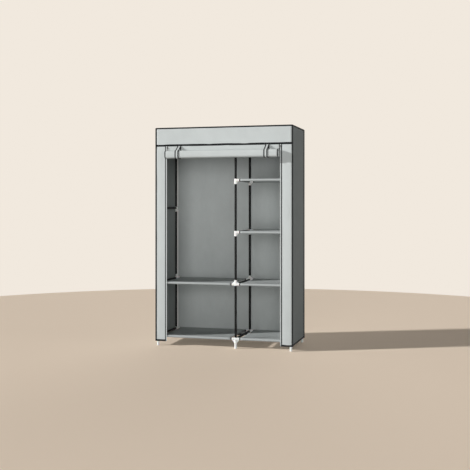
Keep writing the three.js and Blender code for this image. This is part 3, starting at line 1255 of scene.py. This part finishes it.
@dataclass
class RollDoor:
    """The rolled-up door: the cloth above the roll, the roll, two ties and two zip sliders."""

    layout: Layout
    finishes: Finishes
    drop_waves: Crumple = Crumple(0.0012, (0.09, 0.2, 0.2), 41.0)
    roll_waves: Crumple = Crumple(0.0011, (0.11, 0.05, 0.05), 51.0)
    turns: int = 10
    pitch: float = 0.0019
    squareness: float = 4.0
    edge_gap: float = 0.0008
    roll_gap: float = 0.0032
    drop_hold: float = 0.05
    tape_half_width: float = 0.0030
    tape_half_thickness: float = 0.0009
    roll_sink: float = 0.0008
    core_spread_share: float = 0.004
    roll_edge_out: float = 0.0002
    roll_edge_thickness: float = 0.0012
    roll_edge_share: float = 0.985
    flat_roll_share: float = 0.14
    flat_tie_share: float = 0.12
    tie_behind: float = 0.0005
    tie_edge: float = 0.0042
    tie_thickness: float = 0.0009
    tie_press_share: float = 1.001
    tie_edge_thickness: float = 0.0018
    slider_size: tuple[float, float, float] = (0.0094, 0.0024, 0.013)
    slider_back: float = 0.0013
    slider_foot_share: float = 0.72
    slider_round: float = 0.0007
    bridge_radii: tuple[float, float] = (0.0009, 0.0006)
    bridge_back: float = 0.002
    bridge_reach: float = 0.0006
    bridge_top: float = 0.0025
    bridge_bend: float = 0.0017
    bridge_height: float = 0.004
    pull_out: float = 0.0048
    pull_ring_top: float = 0.0064
    pull_ring_radius: float = 0.0022
    pull_wire_radius: float = 0.00055
    pull_size: tuple[float, float] = (0.0056, 0.0013)
    pull_top: float = 0.0085
    pull_round: float = 0.0005
    pull_clear: float = 0.0028

    def __post_init__(self) -> None:
        """Finds the roll's centre and outer radius."""
        low, high = self.layout.roll_low, self.layout.roll_high
        self.outer = (high.z - low.z) / 2
        self.centre = (low + high) / 2
        self.centre.y = low.y + self.outer

    def pressed(self, point: Vector) -> Vector:
        """Squares off the roll's round section: it lies flat against the header and the ties.

        Args:
            point: a point of the round section.

        Returns:
            The point, moved out towards the section's corners.
        """
        arm = Vector((0.0, point.y - self.centre.y, point.z - self.centre.z))
        if arm.length < WELD:
            return point.copy()
        way = arm.normalized()
        power = self.squareness
        reach = (abs(way.y) ** power + abs(way.z) ** power) ** (-1.0 / power)
        return point + arm * (reach - 1.0)

    def drop(self) -> None:
        """Makes the straight cloth above the roll, which stretches as the door comes down."""
        place = self.layout
        low, high = place.drop_low, place.drop_high
        y = (low.y + high.y) / 2
        half = place.opening_half - self.edge_gap
        left = place.opening_shift - half
        pen = ClothPen(Vector((left, y, high.z)))
        pen.line(Vector((left, y, low.z)), 48)
        mesh = pen.draw_out(ALONG_X * 2 * half, 60)
        for vert in mesh.verts:
            edge = half - abs(vert.co.x - place.opening_shift)
            vert.co.y -= max(self.drop_waves.at(vert.co), 0.0) * eased(edge, self.drop_hold)
        cloth = piece_from(mesh, "door_cloth", [self.finishes.front])
        thicken(cloth)
        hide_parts("door_drop")
        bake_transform(cloth)
        radii = (self.tape_half_width, self.tape_half_thickness)
        for side in Side:
            x = place.opening_shift + side.value * (half - self.tape_half_width)
            run = TapeRun(Vector((x, y, high.z)), -ALONG_Z, radii, ALONG_Y, 10)
            band = run.straight(-ALONG_Z * (high.z - low.z), 48).finish()
            piece = piece_from(band, f"door_edge_{side.word}", [self.finishes.binding])
            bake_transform(piece)
        LOG.info("door_cloth: %.3f x %.3f m with two edges", 2 * half, high.z - low.z)

    def spiral(self, start: Vector) -> ClothPen:
        """Draws the roll's section as half turns of falling radius.

        Args:
            start: where the cloth reaches the roll, behind it.

        Returns:
            The pen that drew it.
        """
        pen = ClothPen(start)
        middle = Vector((start.x, self.centre.y, self.centre.z))
        radius = start.y - middle.y
        sign = -1.0
        for index in range(2 * self.turns):
            pen.arc(middle, ALONG_X, -math.pi, 24 if index < 4 else 12)
            radius -= self.pitch / 2
            middle.y = pen.tip.co.y - sign * radius
            sign = -sign
        return pen

    def flatten(self, piece: bpy.types.Object) -> None:
        """Gives a piece of the roll its own copy of its mesh."""
        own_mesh(piece)

    def roll(self) -> None:
        """Makes the rolled cloth, with its bound edge and its free hem."""
        place = self.layout
        centre = self.centre
        radius = self.outer - CLOTH_THICKNESS / 2
        half = place.opening_half - self.roll_gap
        left = place.opening_shift - half
        pen = self.spiral(Vector((left, centre.y + radius, centre.z)))
        mesh = pen.draw_out(ALONG_X * 2 * half, 56)
        for vert in mesh.verts:
            arm = Vector((0.0, vert.co.y - centre.y, vert.co.z - centre.z))
            share = arm.length / radius
            give = arm.normalized() * (self.roll_waves.at(vert.co) - self.roll_sink) * share
            vert.co = self.pressed(vert.co) + give
            vert.co.x += (vert.co.x - place.opening_shift) * self.core_spread_share * (1.0 - share)
        roll = piece_from(mesh, "door_roll_cloth", [self.finishes.front], CLOTH_CREASE)
        thicken(roll)
        mount(roll, "door_roll", slot=Slot.FRONT, body="door")
        self.flatten(roll)
        for side in Side:
            x = place.opening_shift + side.value * half
            edge = ClothPen(Vector((x, centre.y + radius + self.roll_edge_out, centre.z)))
            edge.arc(Vector((x, centre.y, centre.z)), ALONG_X, -FULL_TURN * self.roll_edge_share, 56)
            band = edge.draw_out(ALONG_X * -side.value * 2 * self.tape_half_width, 2)
            for vert in band.verts:
                vert.co = self.pressed(vert.co)
            piece = piece_from(band, f"roll_edge_{side.word}", [self.finishes.binding], CLOTH_CREASE)
            thicken(piece, self.roll_edge_thickness)
            self.flatten(mount(piece, body="door"))

    def tie(self, side: Side) -> None:
        """Makes one tie: a strap from the header round the roll and back, with black edges.

        Args:
            side: which tie.
        """
        low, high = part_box(f"door_tie_{side.word}")
        centre = self.centre
        looks = [self.finishes.front, self.finishes.binding]
        radius = centre.y - low.y
        reach = Vector((0.0, high.y - centre.y, high.z - centre.z))
        opening = math.acos(min(radius / reach.length, 1.0))
        first = math.atan2(reach.z, reach.y) + opening
        tangent = centre + Vector((0.0, math.cos(first) * radius, math.sin(first) * radius))
        strap = high.x - low.x - 2 * self.tie_edge
        mesh = bmesh.new()
        for offset, width, thick, index in (
            (self.tie_edge, strap, self.tie_thickness, 0),
            (0.0, 2 * self.tie_edge, self.tie_edge_thickness, 1),
            (strap, 2 * self.tie_edge, self.tie_edge_thickness, 1),
        ):
            x = low.x + offset
            seam = Vector((x, high.y, high.z))
            pen = ClothPen(seam)
            pen.line(Vector((x, tangent.y, tangent.z)), 10)
            pen.arc(Vector((x, centre.y, centre.z)), ALONG_X, FULL_TURN - 2 * opening, 48)
            pen.line(seam, 8)
            part = pen.draw_out(ALONG_X * width, 8 if index == 0 else 2)
            for vert in part.verts:
                if (vert.co.yz - centre.yz).length < radius * self.tie_press_share:
                    vert.co = self.pressed(vert.co)
            loop = piece_from(part, "tie part", looks, CLOTH_CREASE)
            thicken(loop, thick)
            data = applied(loop)
            for polygon in data.polygons:
                polygon.material_index = index
            mesh.from_mesh(data)
            bpy.data.objects.remove(loop)
            bpy.data.meshes.remove(data)
        piece = piece_from(mesh, f"tie_{side.word}", looks, CLOTH_CREASE)
        mount(piece, f"door_tie_{side.word}", slot=Slot.FRONT)
        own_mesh(piece)

    def slider(self, side: Side) -> None:
        """Makes one zip slider: a waisted body with a bridge, and a pull that hangs from it.

        Args:
            side: which slider.
        """
        low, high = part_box(f"zip_slider_{side.word}")
        x = (low.x + high.x) / 2
        top, back = high.z, high.y
        middle = Vector((x, back - self.slider_back, top - self.slider_size[2] / 2))
        mesh = rounded_block(middle, self.slider_size, self.slider_round, 3, self.slider_foot_share)
        bend = back - self.bridge_back - self.bridge_reach
        elbow = top - self.bridge_top - self.bridge_bend
        bridge = TapeRun(
            Vector((x, back - self.bridge_back, top - self.bridge_top)), -ALONG_Y, self.bridge_radii,
            ALONG_Z, 10,
        )
        bridge.straight(-ALONG_Y * self.bridge_reach)
        bridge.turn(Vector((x, bend, elbow)), ALONG_X, QUARTER_TURN, 5)
        bridge.straight(-ALONG_Z * self.bridge_height)
        bridge.turn(Vector((x, bend, elbow - self.bridge_height)), ALONG_X, QUARTER_TURN, 5)
        bridge.straight(ALONG_Y * self.bridge_reach)
        hook = Vector((x, back - self.pull_out, top - self.pull_ring_top))
        wire = (self.pull_wire_radius, self.pull_wire_radius)
        ring = TapeRun(hook - ALONG_X * self.pull_ring_radius, ALONG_Z, wire, ALONG_Y, 8)
        ring.turn(hook, ALONG_Y, FULL_TURN, 24)
        foot, head = low.z + self.pull_clear, top - self.pull_top
        paddle = rounded_block(
            Vector((x, back - self.pull_out, (foot + head) / 2)), (*self.pull_size, head - foot),
            self.pull_round, 2,
        )
        join(mesh, bridge.finish(), ring.finish(closed=True), paddle)
        piece = piece_from(mesh, f"zip_pull_{side.word}", [self.finishes.zip_metal])
        mount(piece, f"zip_slider_{side.word}", slot=Slot.ZIP, body=f"zip_{side.word}")

    def build(self) -> None:
        """Makes the whole door."""
        self.drop()
        self.roll()
        for side in Side:
            self.tie(side)
            self.slider(side)


@dataclass(frozen=True)
class Bay:
    """One bay of shelves: X of its two columns, its levels and how far its cloths hang."""

    name: str
    start: float
    end: float
    levels: tuple[str, ...]
    sag: float


@dataclass
class Shelves:
    """The six cloth shelves, each sewn into a sleeve round its front and rear tube."""

    layout: Layout
    finishes: Finishes
    waves: Crumple = Crumple(0.0014, (0.12, 0.12, 0.3), 61.0)
    waves_per_metre: float = 10.0
    left_sag: float = 0.0062
    right_sag: float = 0.0040
    arm_reach: float = 0.029
    setback: float = 0.008
    sleeve_gap: float = 0.0003
    hem_behind: float = 0.026
    flap_back: float = 0.006
    flap_front: float = 0.004
    flap_drop: float = 0.0012
    tuck_degrees: float = -32.0
    side_hem: float = 0.007
    stitch_lift_share: float = 0.6
    upper_share: float = 1.5
    free_side_share: float = 0.8
    middle_share: float = 0.8
    hang_share: float = 0.36
    step: float = 0.0125

    def dip(self, point: Vector, bay: Bay) -> float:
        """How far a shelf's cloth hangs below its tubes at a point.

        Args:
            point: the point on the flat cloth.
            bay: the shelf's bay.

        Returns:
            The depth below the top of the sleeves.
        """
        front, rear = self.layout.rows["front"], self.layout.rows["rear"]
        half = (bay.end - bay.start) / 2
        middle = eased(half - abs(point.x - (bay.start + bay.end) / 2), half * self.middle_share)
        across = self.free_side_share + (1.0 - self.free_side_share) * middle
        inwards = min(min(point.y - front, rear - point.y) / ((rear - front) * self.hang_share), 1.0)
        along = inwards * (2.0 - inwards)
        further = point.z * self.waves_per_metre + bay.start
        return across * along * (bay.sag + self.waves.at(point, further))

    def cloth(self, bay: Bay, level: str) -> None:
        """Makes one shelf's cloth: a panel with a sleeve at its front and at its rear.

        Args:
            bay: the shelf's bay.
            level: the level's name.
        """
        place = self.layout
        z = place.levels[level]
        radius = place.tube_radius + self.sleeve_gap
        top = z + radius
        flap = top - self.flap_drop
        x = bay.start + self.arm_reach + self.setback
        width = bay.end - self.arm_reach - self.setback - x
        front, rear = place.rows["front"], place.rows["rear"]
        tuck = math.radians(self.tuck_degrees)
        turn = -(3 * QUARTER_TURN + tuck)
        pen = ClothPen(Vector((x, front + self.hem_behind + self.flap_back, flap)))
        pen.line(Vector((x, front + self.hem_behind - self.flap_front, flap)), 2)
        pen.line(Vector((x, front + math.cos(tuck) * radius, z + math.sin(tuck) * radius)), 3)
        pen.arc(Vector((x, front, z)), ALONG_X, turn, 22)
        pen.line(Vector((x, rear, top)), 34)
        pen.arc(Vector((x, rear, z)), ALONG_X, turn, 22)
        pen.line(Vector((x, rear - self.hem_behind + self.flap_front, flap)), 3)
        pen.line(Vector((x, rear - self.hem_behind - self.flap_back, flap)), 2)
        mesh = pen.draw_out(ALONG_X * width, round(width / self.step))
        for vert in mesh.verts:
            if vert.co.z > top - self.flap_drop * self.upper_share and front < vert.co.y < rear:
                vert.co.z -= self.dip(vert.co, bay)
        bmesh.ops.recalc_face_normals(mesh, faces=mesh.faces[:])
        piece = piece_from(mesh, f"shelf_cloth_{bay.name}_{level}", [self.finishes.shelf], CLOTH_CREASE)
        thicken(piece)
        mount(piece, f"shelf_{bay.name}_{level}", slot=Slot.SHELF)
        self.hem(bay, level, Vector((x, front, top)), Vector((x + width, rear, top)))

    def hem(self, bay: Bay, level: str, low: Vector, high: Vector) -> None:
        """Stitches a shelf's cloth along its sleeves and its two sides.

        Args:
            bay: the shelf's bay.
            level: the level's name.
            low: the cloth's front left corner.
            high: its rear right corner.
        """
        inset = Vector((self.side_hem, self.hem_behind, 0.0))
        low, high = low + inset, high - inset
        corners_round = (low, Vector((high.x, low.y, low.z)), high, Vector((low.x, high.y, low.z)))
        rows = []
        for begin, end in zip(corners_round, corners_round[1:] + corners_round[:1]):
            way = end - begin

            def route(distance: float, begin: Vector = begin, way: Vector = way) -> tuple[Vector, Vector]:
                """The place on the hanging cloth and the direction, at a distance along the row."""
                point = begin + way * (distance / way.length)
                point.z += CLOTH_THICKNESS * self.stitch_lift_share - self.dip(point, bay)
                return point, way

            rows.append(stitches(route, way.length))
        name = f"shelf_stitches_{bay.name}_{level}"
        mount(piece_from(join(bmesh.new(), *rows), name, [self.finishes.pale_thread]))

    def tubes(self, bay: Bay, level: str) -> None:
        """Makes the two tubes in a shelf's sleeves.

        Args:
            bay: the shelf's bay.
            level: the level's name.
        """
        place = self.layout
        z = place.levels[level]
        for row, y in place.rows.items():
            start = Vector((bay.start + place.tube_reach, y, z))
            end = Vector((bay.end - place.tube_reach, y, z))
            name = f"shelf_tube_{bay.name}_{level}_{row}"
            tube = tube_between(name, start, end, place.tube_radius, self.finishes.tube)
            mount(tube, f"shelf_{bay.name}_{level}", slot=Slot.TUBE)

    def build(self) -> None:
        """Makes all the shelves."""
        left, centre, right = self.layout.columns.values()
        for bay in (
            Bay("left", left, centre, ("bottom", "lower"), self.left_sag),
            Bay("right", centre, right, ("bottom", "lower", "mid", "upper"), self.right_sag),
        ):
            for level in bay.levels:
                self.cloth(bay, level)
                self.tubes(bay, level)


@dataclass
class Connectors:
    """The white plastic connectors at the crossings of the tubes, moulded with webs and leg."""

    layout: Layout
    finishes: Finishes
    socket_wall: float = 0.0016
    fit: float = 0.0003
    arm_reach: float = 0.029
    arm_depth: float = 0.016
    sleeve_tail: float = 0.032
    sleeve_tip: float = 0.0095
    hanging_tail: float = 0.029
    web_thickness: float = 0.008
    web_end: float = 0.006
    rising_rise: float = 0.020
    hanging_reach: float = 0.022
    hanging_drop: float = 0.022
    foot_drop: float = 0.029
    foot_depth: float = 0.020
    tip_radius: float = 0.009
    tip_height: float = 0.008
    tip_rim: float = 0.0005
    collar_height: float = 0.004
    collar_rim: float = 0.0004
    overrun: float = 0.004
    voxel: float = 0.0011
    fillet_factor: float = 0.5
    fillet_rounds: int = 3
    kept_share: float = 0.3

    def __post_init__(self) -> None:
        """Works out the radii and starts the store of finished shapes."""
        self.bore = self.layout.tube_radius + self.fit
        self.radius = self.bore + self.socket_wall
        self.shapes: dict[tuple, bpy.types.Mesh] = {}

    @staticmethod
    def bar(
        axis: Vector, start: float, end: float, radius: float, tip: Optional[float] = None
    ) -> bmesh.types.BMesh:
        """A solid round bar along an axis through the crossing.

        Args:
            axis: its direction.
            start: distance of its near end.
            end: distance of its far end.
            radius: its radius at the start.
            tip: its radius at the end, if it tapers.

        Returns:
            The bar's bmesh.
        """
        outline = [(0.0, start), (radius, start), (tip or radius, end), (0.0, end)]
        return turned(outline, place_from(Vector(), axis, upright_for(axis)), 40)

    def web(self, axis: Vector, web: Web) -> bmesh.types.BMesh:
        """The plate between an arm and the sleeve or leg.

        Args:
            axis: the arm's direction.
            web: which way the plate goes.

        Returns:
            The plate's bmesh.
        """
        reach, end = {
            Web.RISING: (self.arm_reach, self.rising_rise),
            Web.HANGING: (self.hanging_reach, -self.hanging_drop),
            Web.FOOT: (self.arm_reach, -self.foot_drop),
        }[web]
        lip = math.copysign(self.web_end, end)
        outline = ((0.0, 0.0), (reach, 0.0), (reach, lip), (self.radius, end), (0.0, end))
        mesh = bmesh.new()
        verts = [mesh.verts.new(axis * along + ALONG_Z * high) for along, high in outline]
        face = mesh.faces.new(verts)
        across = axis.cross(ALONG_Z) * self.web_thickness
        bmesh.ops.translate(mesh, verts=mesh.verts[:], vec=-across / 2)
        grown = bmesh.ops.extrude_face_region(mesh, geom=[face])
        moved = [part for part in grown["geom"] if isinstance(part, bmesh.types.BMVert)]
        bmesh.ops.translate(mesh, verts=moved, vec=across)
        bmesh.ops.recalc_face_normals(mesh, faces=mesh.faces[:])
        return mesh

    def collar(self, axis: Vector, end: float) -> bmesh.types.BMesh:
        """The thicker rim at a socket's mouth."""
        return self.bar(axis, end - self.collar_height, end, self.radius + self.collar_rim)

    def mould(
        self, solids: Sequence[bmesh.types.BMesh], bores: Sequence[bmesh.types.BMesh]
    ) -> bpy.types.Mesh:
        """Fuses solids with soft fillets and cuts the bores.

        Args:
            solids: the overlapping closed parts.
            bores: what is cut out.

        Returns:
            The moulded mesh, about the crossing.
        """
        body = piece_from(join(bmesh.new(), *solids), "connector blank", [])
        remesh = body.modifiers.new("fuse", "REMESH")
        remesh.mode = "VOXEL"
        remesh.voxel_size = self.voxel
        smooth = body.modifiers.new("fillet", "SMOOTH")
        smooth.factor = self.fillet_factor
        smooth.iterations = self.fillet_rounds
        thin = body.modifiers.new("thin", "DECIMATE")
        thin.ratio = self.kept_share
        cutter = piece_from(join(bmesh.new(), *bores), "connector bores", [])
        cut = body.modifiers.new("bores", "BOOLEAN")
        cut.operation = "DIFFERENCE"
        cut.solver = "MANIFOLD"
        cut.object = cutter
        data = applied(body)
        bpy.data.objects.remove(body)
        bpy.data.objects.remove(cutter)
        return data

    def shape(self, arms: tuple[Vector, ...], web: Web, blind: bool = False) -> bpy.types.Mesh:
        """The mesh of one kind of connector, made once.

        Args:
            arms: the directions of its arms.
            web: which way its webs go.
            blind: True where the upright ends inside it.

        Returns:
            The mesh about the crossing.
        """
        key = (tuple(tuple(arm) for arm in arms), web, blind)
        if key in self.shapes:
            return self.shapes[key]
        solids, bores = [], []
        radius, bore, overrun = self.radius, self.bore, self.overrun
        for arm in arms:
            solids.append(self.bar(arm, 0.0, self.arm_reach, radius))
            solids.append(self.collar(arm, self.arm_reach))
            solids.append(self.web(arm, web))
            bores.append(self.bar(arm, self.arm_reach - self.arm_depth, self.arm_reach + overrun, bore))
        if web is Web.FOOT:
            level = self.layout.levels["bottom"]
            solids.append(self.bar(ALONG_Z, -level, radius, self.tip_radius, radius))
            pad = self.tip_radius + self.tip_rim
            solids.append(self.bar(-ALONG_Z, level - self.tip_height, level, pad))
            bores.append(self.bar(ALONG_Z, -self.foot_depth, radius + overrun, bore))
        elif web is Web.RISING:
            solids.append(self.bar(ALONG_Z, -radius, self.sleeve_tail, radius, self.sleeve_tip))
            bores.append(self.bar(ALONG_Z, -radius - overrun, self.sleeve_tail + overrun, bore))
        else:
            solids.append(self.bar(ALONG_Z, -self.hanging_tail, radius, radius))
            solids.append(self.collar(-ALONG_Z, self.hanging_tail))
            ceiling = self.layout.tube_radius / 2 + self.fit if blind else radius + overrun
            bores.append(self.bar(ALONG_Z, -self.hanging_tail - overrun, ceiling, bore))
        self.shapes[key] = self.mould(solids, bores)
        return self.shapes[key]

    def put(self, name: str, shape: bpy.types.Mesh, place: Vector, node: str) -> None:
        """Places a copy of a moulded shape.

        Args:
            name: the piece's name.
            shape: the mesh about the crossing.
            place: the crossing.
            node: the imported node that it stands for.
        """
        mesh = bmesh.new()
        mesh.from_mesh(shape)
        bmesh.ops.translate(mesh, verts=mesh.verts[:], vec=place)
        mount(piece_from(mesh, name, [self.finishes.plastic], PLASTIC_CREASE), node, slot=Slot.PLASTIC)

    def arms_at(self, column: str, row: str, level: str) -> tuple[Vector, ...]:
        """The directions of a crossing's arms."""
        arms = [ALONG_Y if row == "front" else -ALONG_Y]
        left_bay = self.layout.has_crossing("left", level)
        if column == "right" or (column == "centre" and left_bay):
            arms.append(-ALONG_X)
        if column == "centre" or (column == "left" and left_bay):
            arms.append(ALONG_X)
        return tuple(arms)

    def crossings(self) -> None:
        """Makes the feet, the connectors of every shelf level and the six of the top frame."""
        place = self.layout
        webs = {"bottom": Web.FOOT, "lower": Web.RISING}
        for level, z in place.levels.items():
            title = "foot" if level == "bottom" else level
            kind = "foot" if level == "bottom" else f"connector_{level}"
            for column, x in place.columns.items():
                if not place.has_crossing(column, level):
                    continue
                for row, y in place.rows.items():
                    web = webs.get(level, Web.HANGING)
                    shape = self.shape(self.arms_at(column, row, level), web, level == "top")
                    node = f"top_rail_{row}" if level == "top" else f"{kind}_{row}_{column}"
                    self.put(f"moulded_{title}_{row}_{column}", shape, Vector((x, y, z)), node)

    def brace_sleeves(self) -> None:
        """Makes the half-height brace on the left side: two sleeves and the tube between them."""
        place = self.layout
        x, z = place.columns["left"], place.brace
        for row, y in place.rows.items():
            arm = ALONG_Y if row == "front" else -ALONG_Y
            shape = self.shape((arm,), Web.HANGING)
            self.put(f"brace_sleeve_{row}", shape, Vector((x, y, z)), "side_brace_left")
        start = Vector((x, place.rows["front"] + place.tube_reach, z))
        end = Vector((x, place.rows["rear"] - place.tube_reach, z))
        tube = tube_between("brace_tube", start, end, place.tube_radius, self.finishes.tube)
        mount(tube, "side_brace_left", slot=Slot.TUBE)

    def build(self) -> None:
        """Makes all the connectors."""
        self.crossings()
        self.brace_sleeves()


@dataclass
class TubeFrame:
    """The black coated tubes that carry the cover, and the hanging rail with its two clips."""

    layout: Layout
    finishes: Finishes
    clip_length: float = 0.032
    clip_wall: float = 0.0022
    clip_fit: float = 0.0003
    clip_rounding: float = 0.0006
    rail_gap: float = 0.0012

    def tube(self, name: str, start: Vector, end: Vector, node: str) -> None:
        """Makes one tube.

        Args:
            name: the piece's name.
            start: centre of one end.
            end: centre of the other end.
            node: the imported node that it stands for.
        """
        piece = tube_between(name, start, end, self.layout.tube_radius, self.finishes.tube)
        mount(piece, node, slot=Slot.TUBE)

    def uprights(self) -> None:
        """Makes the six uprights."""
        place = self.layout
        for row, y in place.rows.items():
            for column, x in place.columns.items():
                node = f"upright_{row}_{column}"
                low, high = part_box(node)
                self.tube(f"tube_{node}", Vector((x, y, low.z)), Vector((x, y, high.z)), node)

    def depth_tubes(self) -> None:
        """Makes the tubes that run from front to back."""
        place = self.layout
        for level, z in place.levels.items():
            for column, x in place.columns.items():
                if not place.has_crossing(column, level):
                    continue
                node = f"depth_tube_{level}_{column}"
                low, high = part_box(node)
                self.tube(f"round_{node}", Vector((x, low.y, z)), Vector((x, high.y, z)), node)

    def top_tubes(self) -> None:
        """Makes the two tubes of each top rail."""
        place = self.layout
        names = list(place.columns)
        z = place.levels["top"]
        for row, y in place.rows.items():
            for first, second in zip(names, names[1:]):
                start = Vector((place.columns[first] + place.tube_reach, y, z))
                end = Vector((place.columns[second] - place.tube_reach, y, z))
                self.tube(f"top_tube_{row}_{first}", start, end, f"top_rail_{row}")

    def hanging_rail(self) -> None:
        """Makes the rail for hangers and the plastic clips that carry it."""
        place = self.layout
        z = place.levels["top"]
        y = place.centre("hanging_rail").y
        reach = place.tube_radius + self.rail_gap
        start = Vector((place.columns["left"] + reach, y, z))
        end = Vector((place.columns["centre"] - reach, y, z))
        self.tube("hanging_tube", start, end, "hanging_rail")
        bore = place.tube_radius + self.clip_fit
        outer = bore + self.clip_wall
        half, soft = self.clip_length / 2, self.clip_rounding
        outline = [
            (bore, -half + soft), (bore + soft, -half), (outer - soft, -half), (outer, -half + soft),
            (outer, half - soft), (outer - soft, half), (bore + soft, half), (bore, half - soft),
        ]
        cup = [(bore, 0.0), (outer, 0.0), (outer, half), (bore, half)]
        for column, inwards in (("left", ALONG_X), ("centre", -ALONG_X)):
            centre = Vector((place.columns[column], y, z))
            ring = turned(outline, place_from(centre, ALONG_Y, ALONG_Z), 40)
            socket = turned(cup, place_from(centre + inwards * outer, inwards, ALONG_Z), 40)
            clip, name = join(ring, socket), f"rail_clip_{column}"
            piece = piece_from(clip, name, [self.finishes.plastic], PLASTIC_CREASE)
            mount(piece, "hanging_rail", slot=Slot.PLASTIC)

    def build(self) -> None:
        """Makes all the tubes."""
        self.uprights()
        self.depth_tubes()
        self.top_tubes()
        self.hanging_rail()


@dataclass(frozen=True)
class Lamp:
    """A distant lamp: which way its light goes, how much it gives face on, and how wide it looks."""

    name: str
    way: tuple[float, float, float]
    light: float
    spread_degrees: float

    def build(self) -> None:
        """Makes the lamp. A light of 1 shows a colour as it is written."""
        data = bpy.data.lights.new(self.name, "SUN")
        data.energy = self.light * math.pi
        data.angle = math.radians(self.spread_degrees)
        lamp = bpy.data.objects.new(self.name, data)
        lamp.rotation_euler = Vector(self.way).to_track_quat("-Z", "Y").to_euler()
        bpy.context.scene.collection.objects.link(lamp)


@dataclass(frozen=True)
class Studio:
    """Camera, lamps, floor and background."""

    eye: tuple[float, float, float] = (1.740, -6.10035, 1.048)
    yaw_degrees: float = 15.56
    focal_px: float = 841.7
    picture_px: float = 470.0
    horizon_px: float = 205.3
    sensor_mm: float = 36.0
    lamps: tuple[Lamp, ...] = (
        Lamp("key", (2.1, 1.0, -0.8), 1.16, 3.0),
        Lamp("front fill", (-0.12, 0.98, -0.03), 0.42, 38.0),
        Lamp("corner fill", (-1.0, 0.6, -0.12), 0.085, 20.0),
        Lamp("right fill", (-1.0, 0.1, -0.1), 0.15, 16.0),
        Lamp("rear fill", (0.1, -1.0, -0.1), 0.45, 60.0),
    )
    room_light: float = 0.02
    wall_colour: tuple[float, float, float, float] = (0.88, 0.813, 0.73, 1.0)
    floor_colour: tuple[float, float, float, float] = (0.96, 0.80, 0.64, 1.0)
    floor_glow: float = 0.10
    floor_bounce: tuple[float, float, float, float] = (0.62, 0.59, 0.55, 1.0)
    floor_radius: float = 4.3

    def camera(self) -> None:
        """Makes the camera at the photograph's viewing angle."""
        data = bpy.data.cameras.new("view")
        data.sensor_width = self.sensor_mm
        data.lens = self.focal_px / self.picture_px * self.sensor_mm
        data.shift_y = (self.horizon_px - self.picture_px / 2) / self.picture_px
        camera = bpy.data.objects.new("view", data)
        camera.location = self.eye
        camera.rotation_euler = (QUARTER_TURN, 0.0, math.radians(self.yaw_degrees))
        bpy.context.scene.collection.objects.link(camera)
        bpy.context.scene.camera = camera

    @staticmethod
    def seen_rays(graph: Graph) -> bpy.types.NodeSocket:
        """1 for rays that show the background: to the camera, in a reflection or through glass."""
        path = graph.add("LightPath")
        seen = graph.maths("MAXIMUM", path.outputs["Is Camera Ray"], path.outputs["Is Glossy Ray"])
        return graph.maths("MAXIMUM", seen, path.outputs["Is Transmission Ray"])

    def room(self) -> None:
        """Makes the even light of the room, with a pale wall behind the object."""
        world = bpy.data.worlds.new("room")
        world.use_nodes = True
        graph = Graph(world.node_tree)
        light = graph.add("Background", Color=(1.0, 1.0, 1.0, 1.0), Strength=self.room_light)
        wall = graph.add("Background", Color=self.wall_colour, Strength=1.0)
        mix = graph.add("MixShader", Fac=self.seen_rays(graph))
        graph.link(light.outputs[0], mix.inputs[1])
        graph.link(wall.outputs[0], mix.inputs[2])
        graph.add("OutputWorld", Surface=mix.outputs[0])
        bpy.context.scene.world = world

    def floor(self) -> None:
        """Makes the plain pale floor."""
        mesh = bmesh.new()
        bmesh.ops.create_circle(mesh, cap_ends=True, radius=self.floor_radius, segments=96)
        material = bpy.data.materials.new("pale floor")
        material.use_nodes = True
        graph = Graph(material.node_tree)
        shader = graph.add("BsdfDiffuse", Color=self.floor_colour)
        glow = graph.add("Emission", Color=self.floor_colour, Strength=self.floor_glow)
        both = graph.tree.nodes.new("ShaderNodeAddShader")
        graph.link(shader.outputs[0], both.inputs[0])
        graph.link(glow.outputs[0], both.inputs[1])
        bounce = graph.add("BsdfDiffuse", Color=self.floor_bounce)
        mix = graph.add("MixShader", Fac=self.seen_rays(graph))
        graph.link(bounce.outputs[0], mix.inputs[1])
        graph.link(both.outputs[0], mix.inputs[2])
        graph.add("OutputMaterial", Surface=mix.outputs[0])
        piece_from(mesh, "floor", [material])

    def build(self) -> None:
        """Makes the whole studio."""
        self.camera()
        for lamp in self.lamps:
            lamp.build()
        self.room()
        self.floor()
        bpy.context.scene.view_settings.view_transform = "Standard"


def main() -> None:
    """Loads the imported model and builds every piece."""
    logging.basicConfig(level=logging.INFO, format="%(name)s: %(message)s")
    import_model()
    Studio().build()
    layout = Layout()
    finishes = Finishes()
    Cover(layout, finishes).build()
    RollDoor(layout, finishes).build()
    Shelves(layout, finishes).build()
    Connectors(layout, finishes).build()
    TubeFrame(layout, finishes).build()


if __name__ == "__main__":
    main()
